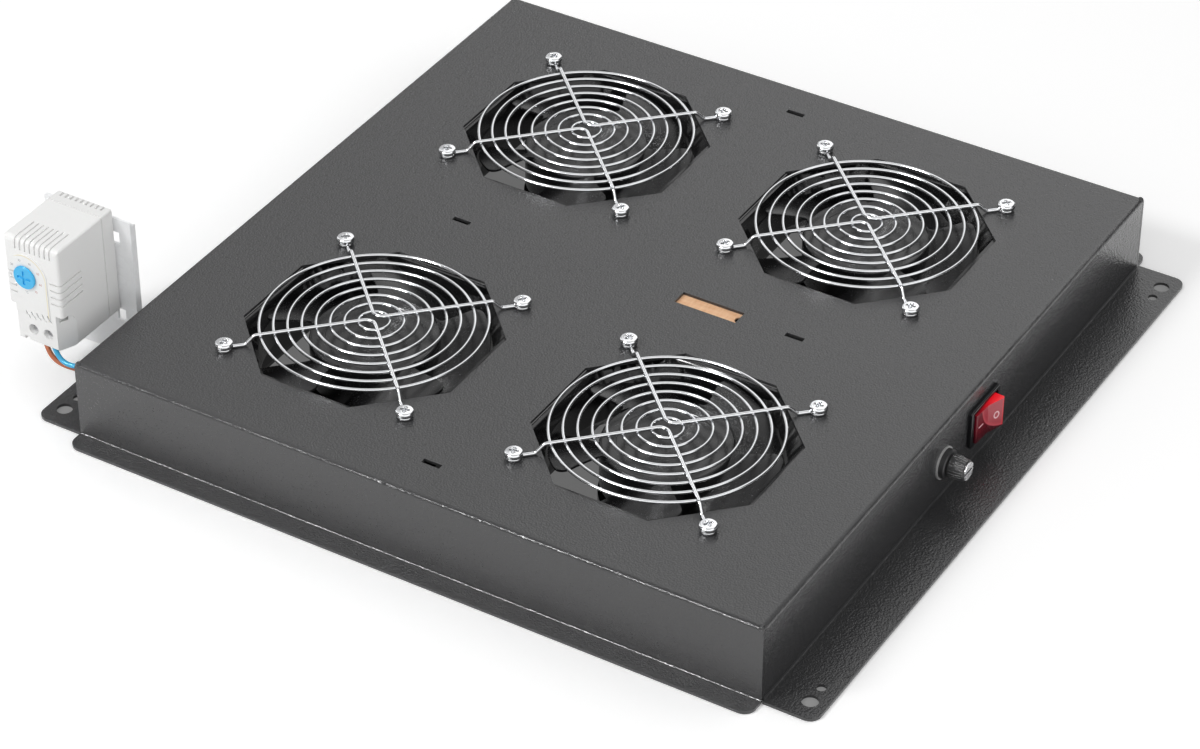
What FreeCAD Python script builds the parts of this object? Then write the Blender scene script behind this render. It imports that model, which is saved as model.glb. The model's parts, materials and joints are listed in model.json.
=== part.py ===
import FreeCAD, Part
import math
import os

# Rack fan tray: a folded steel roof tray that carries four 120 mm axial fans under wire finger
# guards, a lit rocker switch and a fuse holder in its front wall, and a cabinet thermostat on a
# bracket behind its back wall.  Millimetres, +Z up, origin at the middle of the flange underside.

V = FreeCAD.Vector
X, Y, Z = V(1, 0, 0), V(0, 1, 0), V(0, 0, 1)

# ---- clearances ----
FIT = 0.05                  # radial clearance of a shaft in its hole
GAP = 0.3                   # clearance between pieces that must not touch
HOLE_PLAY = 0.25            # radial clearance of a screw in a hole

# ---- folded steel tray ----
TRAY_W = 398.0              # outer width of the box, along X
TRAY_D = 382.0              # outer depth of the box, along Y
TRAY_H = 44.0               # height from flange underside to top face
SHEET = 1.5
BEND_IN = 1.0               # inner bend radius
BEND_OUT = BEND_IN + SHEET
SEAM = 0.2                  # slit between the folded walls at each corner
FLANGE_FB = 27.5            # front and back flange width
FLANGE_LR = 11.0            # left and right flange width
FLANGE_R = 6.0              # rounded flange corners
MOUNT_HOLE_R = 4.1
MOUNT_HOLE_INSET = 11.5     # from the flange's end, along X
MOUNT_HOLE_OUT = 18.7       # from the wall's outer face, along Y
PILOT_HOLE_R = 2.4
PILOT_HOLE_INSET = 22.0
SLOT_L = 10.0               # tie slots in the top plate, along Y
SLOT_W = 3.0
SLOT_FROM_MIDDLE_Y = 96.5
SLOT_FROM_MIDDLE_X = 175.5
WINDOW_W = 9.3              # lead window in the top plate
WINDOW_L = 34.5
WINDOW_Y = -48.6
CARD_T = 0.8                # insulating card under the window
CARD_MARGIN = 6.0
CARD_NOTCH_R = 2.6
THROUGH = 1.0               # how far a cutter runs past the face that it cuts

# ---- fans ----
FAN_X = 99.5                # fan centres
FAN_FROM_WALL = 108.0       # and from the front and back walls
FAN_Y = TRAY_D / 2 - FAN_FROM_WALL
FAN_SIZE = 120.0
FAN_DEPTH = 38.0
FAN_HOLE_INSET = 7.5        # screw hole from the frame's sides
FAN_CORNER_R = 5.0
FAN_FLANGE_T = 4.0
FAN_RIM = 2.4               # frame between the bore and the middle of each side
FAN_SHELL_T = 2.2           # wall between bore and outside
FAN_FLARE = 9.4             # venturi mouth outside the bore, measured in the corners
FAN_FLARE_H = 11.0
FAN_HOLE_R = 2.25
FAN_BOSS_T = 2.2            # wall round a screw hole
CUTOUT_PLAY = 0.5           # octagon in the top plate outside the fan's sides
HUB_R = 32.3
HUB_DROP = 2.2              # hub face below the frame's face
HUB_T = 2.0
HUB_SKIRT_H = 23.0
HUB_EDGE_R = 1.6
BLADES = 5
BLADE_TIP_GAP = 1.1
BLADE_T = 1.8
BLADE_SPAN_DEG = 61.0       # plan angle that one blade covers
BLADE_RISE = 21.0           # height from trailing to leading edge
BLADE_DROP = 3.4            # highest blade edge below the frame's face
BLADE_CORNER_R = 9.0
BLADE_EDGE = 0.6            # thickness at the leading and trailing edges
BLADE_BOW = 3.36            # camber
BLADE_SINK = 1.2            # root of a blade inside the hub's skirt
BLADE_FLARE_DEG = 3.0       # how much wider the plan angle is at the root
BLADE_SWEEP_DEG = 7.5       # how far the root lags behind the tip
ROTOR_WALL = 1.5
ROTOR_R = 30.0              # outside of the steel rotor cup
ROTOR_H = 19.0
ROTOR_BOSS_R = 6.0
ROTOR_BOSS_H = 5.0
AIR_GAP = 0.8
STATOR_H = 12.0
STATOR_POLES = 4
STATOR_CORE_T = 5.0         # iron between the bearing tube and the pole slots
POLE_SLOT_W = 5.0
TUBE_R = 8.0                # bearing tube of the fan's motor base
BEARING_R = 6.0
BEARING_H = 4.5
BEARING_DROP = 0.5          # upper bearing below the tube's mouth
SPIN_GAP = 1.0              # end play between what spins and what stands
SHAFT_R = 2.5
BASE_R = 33.0
BASE_T = 3.0
BASE_RIM_H = 6.5
STRUTS = 3
STRUT_W = 7.0
STRUT_H = 4.0
STRUT_SPAN_DEG = 34.0       # sweep of a strut from hub to frame
STRUT_TURN_DEG = 15.0       # place of the first strut
STRUT_BOW = 3.0
STRUT_SINK = 1.5            # strut's end inside the motor base
# rotor position of each fan at rest, and its place
FANS = {"back_left": (-FAN_X, FAN_Y, 8.0), "back_right": (FAN_X, FAN_Y, 50.5),
        "front_left": (-FAN_X, -FAN_Y, 46.0), "front_right": (FAN_X, -FAN_Y, -1.5)}

# ---- finger guards and their screws ----
RING_WIRE_R = 0.8
ARM_WIRE_R = 0.95
RINGS = 8
RING_FIRST_R = 7.7
RING_IN_BORE = 1.4          # last ring inside the fan's bore
RING_LIFT = 4.0             # ring wire's middle above the top plate
WELD = 0.12                 # depth that two wires sink into each other
ARM_APEX = 0.6              # where the two legs of an arm would meet, from the middle
ARM_APEX_R = 5.0
ARM_STEP_AT = 3.2           # start of the step, outside the last ring
ARM_BEND_R = 2.4
EYE_R = 3.2                 # centre line of the eye loop
SCREW_R = 2.0
SCREW_HEAD_R = 4.6
SCREW_HEAD_H = 2.8
SCREW_DOME = 0.9
SCREW_TAIL = 1.6            # thread showing under the nut
CROSS_W = 1.0
CROSS_L = 4.6
CROSS_DEPTH = 1.5
NUT_FLATS = 7.0
NUT_H = 3.2
NUT_CHAMFER = 0.5
NUT_CHAMFER_H = 0.4

# ---- rocker switch in the front wall ----
SWITCH_X = 16.9
SWITCH_Z = 22.6
BEZEL_W = 29.8
BEZEL_H = 21.7
BEZEL_T = 2.4
BEZEL_R = 1.6
BEZEL_EDGE_R = 0.8
SWITCH_BODY_W = 27.2
SWITCH_BODY_H = 19.6
SWITCH_DEPTH = 25.0         # behind the bezel's rear face
ROCKER_MOUTH_W = 24.8
ROCKER_MOUTH_H = 17.4
ROCKER_POCKET = 9.5         # pocket depth behind the bezel's rear face
ROCKER_W = 22.0
ROCKER_DIP = 1.7            # middle of the rocker's face below its ends
ROCKER_OUT = 6.0            # ends of the face outside the wall, rocker level
ROCKER_SIDE = 0.4           # play above and below the rocker
ROCKER_TILT = 12.0          # either way from level
ROCKER_LEAN = 1.0           # how much narrower each end is at the pivot
ROCKER_KEEL = 3.6           # depth behind the pivot
ROCKER_KEEL_IN = 6.0        # keel's corners from the ends
ROCKER_RADII = [1.0, 3.0, 1.0, 2.0, 1.5, 1.5, 2.0]
PIVOT_IN = 2.0              # pivot behind the wall's outer face
PIVOT_R = 1.6
PIVOT_PIN = 0.9             # pin beyond the rocker's top and bottom
PIVOT_SEAT = 0.7            # pin's hole beyond the mouth
SNAP_OUT = 1.0
SNAP_L = 9.0
SNAP_W = 8.0
TAB_W = 6.3
TAB_T = 0.8
TAB_L = 9.0
TAB_CORNER_R = 1.4
TAB_HOLE_R = 0.9
TAB_HOLE_IN = 3.0           # hole from the tab's tip
TAB_PITCH_X = 11.0
TAB_PITCH_Z = 8.0

# ---- panel fuse holder in the front wall ----
FUSE_X = -22.5
FUSE_Z = 19.8
FUSE_RING_R = 8.5
FUSE_RING_T = 0.8
FUSE_FLANGE_R = 7.7
FUSE_FLANGE_T = 3.0
FUSE_BODY_R = 6.0
FUSE_BODY_L = 30.0
FUSE_BODY_CHAMFER = 1.0
FUSE_FLANGE_CHAMFER = 0.5
FUSE_BORE_R = 4.3
FUSE_FLOOR = 2.5
FUSE_NUT_FLATS = 15.0
FUSE_NUT_T = 3.5
CAP_R = 6.1
CAP_TIP_R = 5.0
CAP_L = 9.2
CAP_NECK = 0.8              # dark groove between cap and flange
CAP_STEM_R = 4.25
CAP_STEM_L = 7.0
CAP_BAND = 2.4              # plain band at the cap's foot
CAP_CHAMFER_H = 0.8
CAP_CHAMFER = 0.4
CAP_RIBS = 24
CAP_GROOVE_R = 0.4
CAP_GROOVE_OUT = 0.15       # groove's middle outside the cap's side
CAP_SLOT_W = 1.2
CAP_SLOT_L = 7.0
CAP_SLOT_DEPTH = 1.2
LINK_R = 2.6
LINK_L = 20.0
LINK_CAP_L = 5.0
LINK_IN_CAP = 5.0
LINK_GLASS_IN = 0.15        # glass inside the radius of its end caps
FUSE_TAB_W = 4.8
FUSE_TAB_T = 0.8
FUSE_TAB_L = 8.0
FUSE_SIDE_TAB_IN = 9.0      # side tab from the holder's rear end

# ---- cabinet thermostat ----
THERMO_X = -180.0           # dial face
THERMO_FROM_BACK = 37.0     # middle, from the back wall
THERMO_W = 33.0             # along Y
THERMO_Z0 = 29.4
THERMO_H = 60.4
SHELL_L = 35.0              # front shell, along X
BASE_L = 10.0               # rear part, along X
SHELL_WALL = 1.8
SHELL_EDGE_R = 3.0
SHELL_SIDE_R = 1.2
TERMINAL_BLOCK_H = 16.6     # solid lower part of the shell
DIAL_SIDE = 4.2             # dial's middle from the housing's middle
DIAL_Z = 68.7
DIAL_R = 6.4
DIAL_T = 1.1
DIAL_POST_R = 2.5
DIAL_POST_L = 7.0
DIAL_CHAMFER = 0.3
DIAL_SLOT_W = 1.5
DIAL_SLOT_L = 8.0
DIAL_SLOT_DEPTH = 0.6
ARCH_R = 12.8
ARCH_T = 0.5
ARCH_DOWN = 22.6            # below the dial's middle
ARCH_SHOULDER = 3.6         # where the long side's curve starts, above the dial's middle
VENTS = 8
VENT_PITCH = 3.0
VENT_W = 0.9
VENT_BACK = 16.0
VENT_DOWN = 6.5
VENT_FROM_SIDE = 4.9        # last vent from the near side face
SLITS = 4
SLIT_PITCH = 4.0
SLIT_W = 0.9
SLIT_TOP_Z = 69.4
SLIT_BACK = 17.0
SLIT_ACROSS = 6.4
SLIT_CUT = 1.2
GILLS = 5
GILL_PITCH = 3.3
GILL_W = 0.8
GILL_L = 4.4
GILL_SIDE = -8.1            # first gill from the housing's middle
GILL_Z = 47.2
GILL_STEP_Z = -0.35         # each further gill sits a little lower
GILL_LEAN = 0.9             # a gill's top to one side of its middle
GILL_TAIL = 1.1             # and its foot to the other
SCOOP_IN = 4.6              # scooped lower corners, along Y
SCOOP_BACK = 10.0           # and along X
SCOOP_H = 21.0
SCOOP_TOP_R = 5.0
TERMINAL_HOLE_R = 2.9
TERMINAL_HOLE_DEPTH = 7.0
TERMINAL_SIDES = (2.7, -6.3)    # from the housing's middle
TERMINAL_Z = 37.4
TERMINAL_SCREW_R = 2.5
TERMINAL_SCREW_L = 4.0
TERMINAL_SLOT_W = 0.8
TERMINAL_SLOT_DEPTH = 1.0
FOOT_NOTCH_W = 3.0
FOOT_NOTCH_H = 2.2
FOOT_NOTCH_L = 4.0
FOOT_NOTCH_SIDE = 7.2       # from the housing's middle
BIMETAL_T = 0.8
BIMETAL_W = 5.0
BIMETAL_DOWN = 12.0         # its root below the dial's middle
COMB_SLOTS = 9
COMB_PITCH = 3.1
COMB_W = 1.3
COMB_L = 4.5
COMB_DEPTH = 1.4
STEP_GROOVE = 0.5           # joint line between shell and base
BASE_LEDGE = 1.0            # rear part stands in from the shell's sides

# ---- thermostat bracket, screwed to the back wall ----
BRACKET_T = 1.5
BRACKET_FROM_BACK = 10.7    # edge nearest to the tray, from the back wall
BRACKET_CORNER_R = 1.5
BRACKET_TOP = 84.0
BRACKET_LIP = 2.6
BRACKET_LIP_DROP = 2.4      # lip starts below the top corner
BRACKET_SLOT_W = 5.0
BRACKET_SLOT_H = 7.0
BRACKET_SLOT_IN = 9.7       # slots' middle from the bracket's edge
BRACKET_SLOT_Z = (72.6, 25.8)
EAR_Z0 = 5.5                # ear that reaches to the back wall
EAR_H = 21.5
EAR_W = 17.0                # part of the ear that lies on the wall
EAR_SCREW_PITCH = 12.0

# ---- leads, grommets and terminal strip ----
LEAD_R = 1.3
LEAD_SOFTNESS = 0.45        # share of the shorter run that a bend may take at each end
GROMMET_X = -171.0
GROMMET_Z = 21.4
GROMMET_HOLE_R = 5.4        # hole in the wall
GROMMET_LIP = 1.6
GROMMET_LIP_T = 1.5
GROMMET_CHAMFER = 0.6
GROMMET_BORE_R = 3.9
MAINS_X = 150.0
MAINS_Z = 21.4
MAINS_HOLE_R = 6.5
MAINS_BORE_R = 4.2
STRIP_X = -134.0            # terminal strip under the top plate
STRIP_FROM_BACK = 20.0      # its middle, from the back wall
STRIP_W = 17.0              # along X
STRIP_POLES = 3
STRIP_PITCH = 8.0
STRIP_SLIT = 1.4            # between the poles
STRIP_STEP = 1.5            # poles in from the foot's ends
STRIP_EDGE_R = 1.0
STRIP_SCREW_IN = 4.0        # screws from the foot's ends
STRIP_SCREW_OUT = 1.2
STRIP_H = 15.0
STRIP_FOOT = 3.0
STRIP_ENTRY_R = 1.9
STRIP_SCREW_R = 1.6
STRIP_ENTRY_DEPTH = 5.4
# route points of the two leads, from the thermostat's underside to the terminal strip
BROWN_ROUTE = [(-177.8, 226.2, 33.4), (-178.6, 224.2, 24.4), (-178.6, 217.0, 18.0), (-175.8, 205.4, 17.2),
               (-171.4, 191.5, 19.9), (-167.2, 179.0, 23.0), (-158.8, 169.2, 26.2), (-147.6, 163.6, 28.8),
               (-136.0, 163.0, 29.4)]
BLUE_ROUTE = [(-176.8, 222.6, 33.0), (-178.2, 219.6, 25.6), (-179.2, 212.9, 21.9), (-177.4, 204.2, 22.8),
              (-171.0, 191.5, 23.0), (-165.0, 182.6, 24.8), (-156.2, 175.6, 27.0), (-146.4, 171.6, 29.0),
              (-136.0, 171.0, 29.4)]

# ---- earth stud ----
EARTH_X = -50.0
EARTH_FROM_FRONT = 25.0
EARTH_R = 2.5
EARTH_L = 14.0
EARTH_WASHER_R = 5.0
EARTH_WASHER_T = 1.0
EARTH_NUT_FLATS = 8.0

# ---- derived levels ----
FRONT = -TRAY_D / 2         # outer face of the front wall
BACK = TRAY_D / 2           # outer face of the back wall
CEILING = TRAY_H - SHEET    # underside of the top plate
WALL_TOP = TRAY_H - BEND_OUT    # where the walls meet the top's bends
FAN_BOTTOM = CEILING - FAN_DEPTH
FAN_PITCH = FAN_SIZE - 2 * FAN_HOLE_INSET
FAN_BORE_R = FAN_SIZE / 2 - FAN_RIM
FAN_FLARE_R = FAN_BORE_R + FAN_FLARE
CUTOUT_FLATS = FAN_SIZE + 2 * CUTOUT_PLAY
ROTOR_TOP = FAN_DEPTH - HUB_DROP - HUB_T     # rotor cup's closed end, above the fan's bottom
ROTOR_BOSS_LOW = ROTOR_TOP - ROTOR_WALL - ROTOR_BOSS_H
TUBE_TOP = ROTOR_BOSS_LOW - SPIN_GAP
CORE_LOW = BASE_T + SPIN_GAP
RING_LAST_R = FAN_BORE_R - RING_IN_BORE
THERMO_Y = BACK + THERMO_FROM_BACK
DIAL_Y = THERMO_Y + DIAL_SIDE
BRACKET_X = THERMO_X + SHELL_L + BASE_L
BRACKET_Y0 = BACK + BRACKET_FROM_BACK
STRIP_Y = BACK - STRIP_FROM_BACK


# ================= shape helpers =================
def box(x0, x1, y0, y1, z0, z1):
    return Part.makeBox(x1 - x0, y1 - y0, z1 - z0, V(x0, y0, z0))


def rod(radius, start, end):
    way = V(*end) - V(*start)
    return Part.makeCylinder(radius, way.Length, V(*start), way)


def tube(outer, inner, start, end):
    return rod(outer, start, end).cut(rod(inner, start, end))


def rounded_edges(points, radii, closed=True):
    """Edges through the points, each corner rounded by a tangent arc of its radius."""
    count = len(points)
    pts = [V(*p) for p in points]
    starts, ends, arcs = [], [], []
    for i, p in enumerate(pts):
        radius = radii[i] if (closed or 0 < i < count - 1) else 0
        if radius <= 0:
            starts.append(p)
            ends.append(p)
            arcs.append(None)
            continue
        before = (pts[i - 1] - p).normalize()
        after = (pts[(i + 1) % count] - p).normalize()
        half = before.getAngle(after) / 2
        reach = radius / math.tan(half)
        middle = p + (before + after).normalize() * (radius / math.sin(half) - radius)
        starts.append(p + before * reach)
        ends.append(p + after * reach)
        arcs.append(middle)
    edges = []
    for i in range(count):
        if arcs[i]:
            edges.append(Part.Arc(starts[i], arcs[i], ends[i]).toShape())
        if closed or i < count - 1:
            following = starts[(i + 1) % count]
            if (following - ends[i]).Length > 1e-4:
                edges.append(Part.LineSegment(ends[i], following).toShape())
    return edges


def prism(points, radii, way):
    """A closed, rounded outline pushed along a vector."""
    if not isinstance(radii, (list, tuple)):
        radii = [radii] * len(points)
    return Part.Face(Part.Wire(rounded_edges(points, radii))).extrude(way)


def rounded_box(x0, x1, y0, y1, z0, z1, radius, axis):
    """A box with the four edges along one axis rounded."""
    if axis == "X":
        pts = [(x0, y0, z0), (x0, y1, z0), (x0, y1, z1), (x0, y0, z1)]
        return prism(pts, radius, X * (x1 - x0))
    if axis == "Y":
        pts = [(x0, y0, z0), (x1, y0, z0), (x1, y0, z1), (x0, y0, z1)]
        return prism(pts, radius, Y * (y1 - y0))
    pts = [(x0, y0, z0), (x1, y0, z0), (x1, y1, z0), (x0, y1, z0)]
    return prism(pts, radius, Z * (z1 - z0))


def polygon_prism(sides, flats, centre, axis, length, turn=0.0):
    """A regular prism of a given width across flats, standing on centre along axis."""
    radius = flats / 2 / math.cos(math.pi / sides)
    pts = []
    for i in range(sides):
        angle = math.radians(turn + 360.0 * i / sides)
        pts.append(V(radius * math.cos(angle), radius * math.sin(angle), 0))
    solid = Part.Face(Part.makePolygon(pts + [pts[0]])).extrude(Z * length)
    solid.Placement = FreeCAD.Placement(V(*centre), FreeCAD.Rotation(Z, axis))
    return solid


def turned(points):
    """A solid of revolution about Z from (radius, height) points."""
    pts = [V(r, 0, z) for r, z in points]
    return Part.Face(Part.makePolygon(pts + [pts[0]])).revolve(V(0, 0, 0), Z, 360)


def along(solid, axis, place):
    """Stands a solid that was made about +Z on a place, along an axis."""
    solid.Placement = FreeCAD.Placement(V(*place), FreeCAD.Rotation(Z, axis))
    return solid


def fused(solids):
    shape = solids[0].fuse(solids[1:]) if len(solids) > 1 else solids[0]
    return shape.removeSplitter()


def bent_strip(line, thickness, inner_radius, way):
    """Sheet folded along a centre line in one plane, pushed along a vector."""
    pts = [V(*p) for p in line]
    normal = V(way).normalize()
    sides = {1: [], -1: []}
    for i, p in enumerate(pts):
        arms = []
        if i > 0:
            arms.append((p - pts[i - 1]).normalize())
        if i < len(pts) - 1:
            arms.append((pts[i + 1] - p).normalize())
        lefts = [normal.cross(a) for a in arms]
        mean = lefts[0] if len(lefts) == 1 else (lefts[0] + lefts[1]).normalize()
        stretch = thickness / 2 / mean.dot(lefts[0])
        turn = normal.dot(arms[0].cross(arms[1])) if len(arms) == 2 else 0
        for side in (1, -1):
            radius = 0
            if turn:
                radius = inner_radius if turn * side > 0 else inner_radius + thickness
            sides[side].append((tuple(p + mean * stretch * side), radius))
    outline = sides[1] + sides[-1][::-1]
    return prism([p for p, r in outline], [r for p, r in outline], way)


def save(node, shape):
    shape.exportStep(os.path.join("parts", node + ".step"))


# ================= tray =================
def flange_plate(x0, x1, y0, y1, corners):
    """A flat flange; corners gives the radius at (x0,y0), (x1,y0), (x1,y1), (x0,y1)."""
    pts = [(x0, y0, 0), (x1, y0, 0), (x1, y1, 0), (x0, y1, 0)]
    return prism(pts, corners, Z * SHEET)


def tray_envelope(margin):
    """The space inside the folded top, a margin below the outside, down to where the walls start."""
    half_w, half_d, top = TRAY_W / 2 - margin, TRAY_D / 2 - margin, TRAY_H - margin
    radii = [0, 0, BEND_OUT - margin, BEND_OUT - margin]
    front_view = [(-half_w, -half_d, WALL_TOP), (half_w, -half_d, WALL_TOP), (half_w, -half_d, top),
                  (-half_w, -half_d, top)]
    side_view = [(-half_w, -half_d, WALL_TOP), (-half_w, half_d, WALL_TOP), (-half_w, half_d, top),
                 (-half_w, -half_d, top)]
    return prism(front_view, radii, Y * (2 * half_d)).common(prism(side_view, radii, X * (2 * half_w)))


def tray_side_wall():
    """Left wall with its narrow flange, from the top bend down."""
    half_w, half_d, mid = TRAY_W / 2, TRAY_D / 2, SHEET / 2
    line = [(-half_w - BEND_IN, 0, mid), (-half_w + mid, 0, mid), (-half_w + mid, 0, WALL_TOP)]
    wall = bent_strip(line, SHEET, BEND_IN, Y * TRAY_D)
    wall.translate(V(0, -half_d, 0))
    corners = [FLANGE_R, 0, 0, FLANGE_R]
    flange = flange_plate(-half_w - FLANGE_LR, -half_w - BEND_IN / 2, -half_d, half_d, corners)
    return fused([wall, flange])


def tray_end_wall():
    """Front wall with its wide flange, butted between the side walls."""
    half_w, half_d, mid = TRAY_W / 2, TRAY_D / 2, SHEET / 2
    line = [(0, -half_d - BEND_IN, mid), (0, -half_d + mid, mid), (0, -half_d + mid, WALL_TOP)]
    inner = half_w - SHEET - SEAM
    wall = bent_strip(line, SHEET, BEND_IN, X * (2 * inner))
    wall.translate(V(-inner, 0, 0))
    corners = [FLANGE_R, FLANGE_R, 0, 0]
    flange = flange_plate(-half_w, half_w, -half_d - FLANGE_FB, -half_d - BEND_IN / 2, corners)
    return fused([wall, flange])


def flange_holes():
    """Bolt holes and pilot holes at both ends of the front flange."""
    cuts = []
    y = FRONT - MOUNT_HOLE_OUT
    for side in (-1, 1):
        for radius, inset in ((MOUNT_HOLE_R, MOUNT_HOLE_INSET), (PILOT_HOLE_R, PILOT_HOLE_INSET)):
            x = side * (TRAY_W / 2 - inset)
            cuts.append(rod(radius, (x, y, -THROUGH), (x, y, SHEET + THROUGH)))
    return cuts


def top_cuts():
    low, high = CEILING - THROUGH, TRAY_H + THROUGH
    flat_to_front = 360.0 / 16              # turns a side of the octagon to face the front wall
    cuts = []
    for x, y, phase in FANS.values():
        cuts.append(polygon_prism(8, CUTOUT_FLATS, (x, y, low), Z, high - low, flat_to_front))
        for sx, sy in fan_corners():
            cuts.append(rod(SCREW_R + HOLE_PLAY, (x + sx, y + sy, low), (x + sx, y + sy, high)))
    for x, y in ((0, SLOT_FROM_MIDDLE_Y), (0, -SLOT_FROM_MIDDLE_Y), (SLOT_FROM_MIDDLE_X, 0),
                 (-SLOT_FROM_MIDDLE_X, 0)):
        cuts.append(box(x - SLOT_W / 2, x + SLOT_W / 2, y - SLOT_L / 2, y + SLOT_L / 2, low, high))
    cuts.append(box(-WINDOW_W / 2, WINDOW_W / 2, WINDOW_Y - WINDOW_L / 2, WINDOW_Y + WINDOW_L / 2, low, high))
    return cuts


def front_wall_cuts():
    start, end = FRONT - THROUGH, FRONT + SHEET + THROUGH
    half_w, half_h = SWITCH_BODY_W / 2 + GAP, SWITCH_BODY_H / 2 + GAP
    return [box(SWITCH_X - half_w, SWITCH_X + half_w, start, end, SWITCH_Z - half_h, SWITCH_Z + half_h),
            rod(FUSE_BODY_R + HOLE_PLAY, (FUSE_X, start, FUSE_Z), (FUSE_X, end, FUSE_Z))]


def back_wall_cuts():
    start, end = BACK - SHEET - THROUGH, BACK + THROUGH
    holes = [(GROMMET_HOLE_R, GROMMET_X, GROMMET_Z), (MAINS_HOLE_R, MAINS_X, MAINS_Z)]
    holes += [(SCREW_R + HOLE_PLAY, x, z) for x, z in ear_screws()]
    return [rod(radius, (x, start, z), (x, end, z)) for radius, x, z in holes]


def ear_screws():
    """Places (x, z) of the two screws that hold the bracket's ear to the back wall."""
    x = BRACKET_X + BRACKET_T + EAR_W / 2
    middle = EAR_Z0 + EAR_H / 2
    return [(x, middle - EAR_SCREW_PITCH / 2), (x, middle + EAR_SCREW_PITCH / 2)]


def make_tray():
    save("tray_top", tray_envelope(0).cut(tray_envelope(SHEET)).cut(top_cuts()))
    front = tray_end_wall().cut(flange_holes())
    back = front.mirror(V(0, 0, 0), Y)
    save("tray_front_wall", front.cut(front_wall_cuts()))
    save("tray_back_wall", back.cut(back_wall_cuts()))
    left = tray_side_wall()
    save("tray_left_wall", left)
    save("tray_right_wall", left.mirror(V(0, 0, 0), X))
    half_w, half_l = WINDOW_W / 2 + CARD_MARGIN, WINDOW_L / 2 + CARD_MARGIN
    card = box(-half_w, half_w, WINDOW_Y - half_l, WINDOW_Y + half_l, CEILING - CARD_T, CEILING)
    notch_y = WINDOW_Y - WINDOW_L / 2
    below = CEILING - CARD_T - THROUGH
    card = card.cut(rod(CARD_NOTCH_R, (0, notch_y, below), (0, notch_y, CEILING + THROUGH)))
    save("insulating_card", card)


# ================= fans =================
def fan_corners():
    half = FAN_PITCH / 2
    return [(half, half), (-half, half), (-half, -half), (half, -half)]


def fan_frame():
    """Cast frame: round shell, square flanges, flared mouths, motor base on curved struts."""
    half = FAN_SIZE / 2
    shell = Part.makeCylinder(FAN_BORE_R + FAN_SHELL_T, FAN_DEPTH)
    flange = rounded_box(-half, half, -half, half, 0, FAN_FLANGE_T, FAN_CORNER_R, "Z")
    top = flange.copy()
    top.translate(Z * (FAN_DEPTH - FAN_FLANGE_T))
    body = shell.fuse([flange, top])
    flare_wall = FAN_FLARE_R + FAN_SHELL_T
    for low, high, base in ((FAN_BORE_R + FAN_SHELL_T, flare_wall, FAN_DEPTH - FAN_FLARE_H),
                            (flare_wall, FAN_BORE_R + FAN_SHELL_T, 0)):
        cone = Part.makeCone(low, high, FAN_FLARE_H, V(0, 0, base))
        body = body.fuse(cone.common(rounded_box(-half, half, -half, half, 0, FAN_DEPTH, FAN_CORNER_R, "Z")))
    inner = half - FAN_SHELL_T
    mouth = rounded_box(-inner, inner, -inner, inner, -THROUGH, FAN_DEPTH + THROUGH, FAN_CORNER_R, "Z")
    body = body.cut(Part.makeCylinder(FAN_BORE_R, FAN_DEPTH + 2 * THROUGH, V(0, 0, -THROUGH)).common(mouth))
    for low, high, base in ((FAN_BORE_R, FAN_FLARE_R, FAN_DEPTH - FAN_FLARE_H), (FAN_FLARE_R, FAN_BORE_R, 0)):
        body = body.cut(Part.makeCone(low, high, FAN_FLARE_H, V(0, 0, base)).common(mouth))
    for x, y in fan_corners():
        for level in (0, FAN_DEPTH - FAN_FLANGE_T):
            body = body.fuse(Part.makeCylinder(FAN_HOLE_R + FAN_BOSS_T, FAN_FLANGE_T, V(x, y, level)))
    base = turned([(0, 0), (BASE_R, 0), (BASE_R, BASE_RIM_H), (BASE_R - ROTOR_WALL, BASE_RIM_H),
                   (BASE_R - ROTOR_WALL, BASE_T), (0, BASE_T)])
    tower = Part.makeCylinder(TUBE_R, TUBE_TOP)
    body = body.fuse([base, tower] + [strut(i) for i in range(STRUTS)])
    body = body.cut(Part.makeCylinder(BEARING_R, TUBE_TOP, V(0, 0, BASE_T)))
    holes = [rod(FAN_HOLE_R, (x, y, -THROUGH), (x, y, FAN_DEPTH + THROUGH)) for x, y in fan_corners()]
    return body.cut(holes).removeSplitter()


def strut(index):
    """One swept strut from the motor base to the bore."""
    turn = 360.0 / STRUTS * index + STRUT_TURN_DEG
    reach = FAN_BORE_R + FAN_SHELL_T / 2
    sweep = math.radians(STRUT_SPAN_DEG)
    start, end = V(BASE_R - STRUT_SINK, 0, 0), V(reach * math.cos(sweep), reach * math.sin(sweep), 0)
    way = (end - start).normalize()
    side = Z.cross(way)
    middle = (start + end) * 0.5 - side * STRUT_BOW
    edges = []
    for offset in (STRUT_W / 2, -STRUT_W / 2):
        edges.append(Part.Arc(start + side * offset, middle + side * offset, end + side * offset))
    near = Part.LineSegment(edges[1].StartPoint, edges[0].StartPoint)
    far = Part.LineSegment(edges[0].EndPoint, edges[1].EndPoint)
    wire = Part.Wire(Part.__sortEdges__([e.toShape() for e in (edges[0], far, edges[1], near)]))
    blade = Part.Face(wire).extrude(Z * STRUT_H)
    blade.rotate(V(0, 0, 0), Z, turn)
    return blade


def blade_section(radius):
    """Outline of one blade at a radius, in the plane square to that radius."""
    half = math.radians(BLADE_SPAN_DEG) / 2 * radius
    low = FAN_DEPTH - BLADE_DROP - BLADE_RISE
    high = FAN_DEPTH - BLADE_DROP
    thin = BLADE_EDGE / 2
    tail, nose = V(radius, -half, low), V(radius, half, high)
    middle = (tail + nose) * 0.5
    way = (nose - tail).normalize()
    side = X.cross(way)
    upper = Part.Arc(tail + side * thin, middle + side * (BLADE_BOW + BLADE_T / 2), nose + side * thin)
    lower = Part.Arc(nose - side * thin, middle + side * (BLADE_BOW - BLADE_T / 2), tail - side * thin)
    front = Part.LineSegment(upper.EndPoint, lower.StartPoint)
    rear = Part.LineSegment(lower.EndPoint, upper.StartPoint)
    return Part.Wire([edge.toShape() for edge in (upper, front, lower, rear)])


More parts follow.
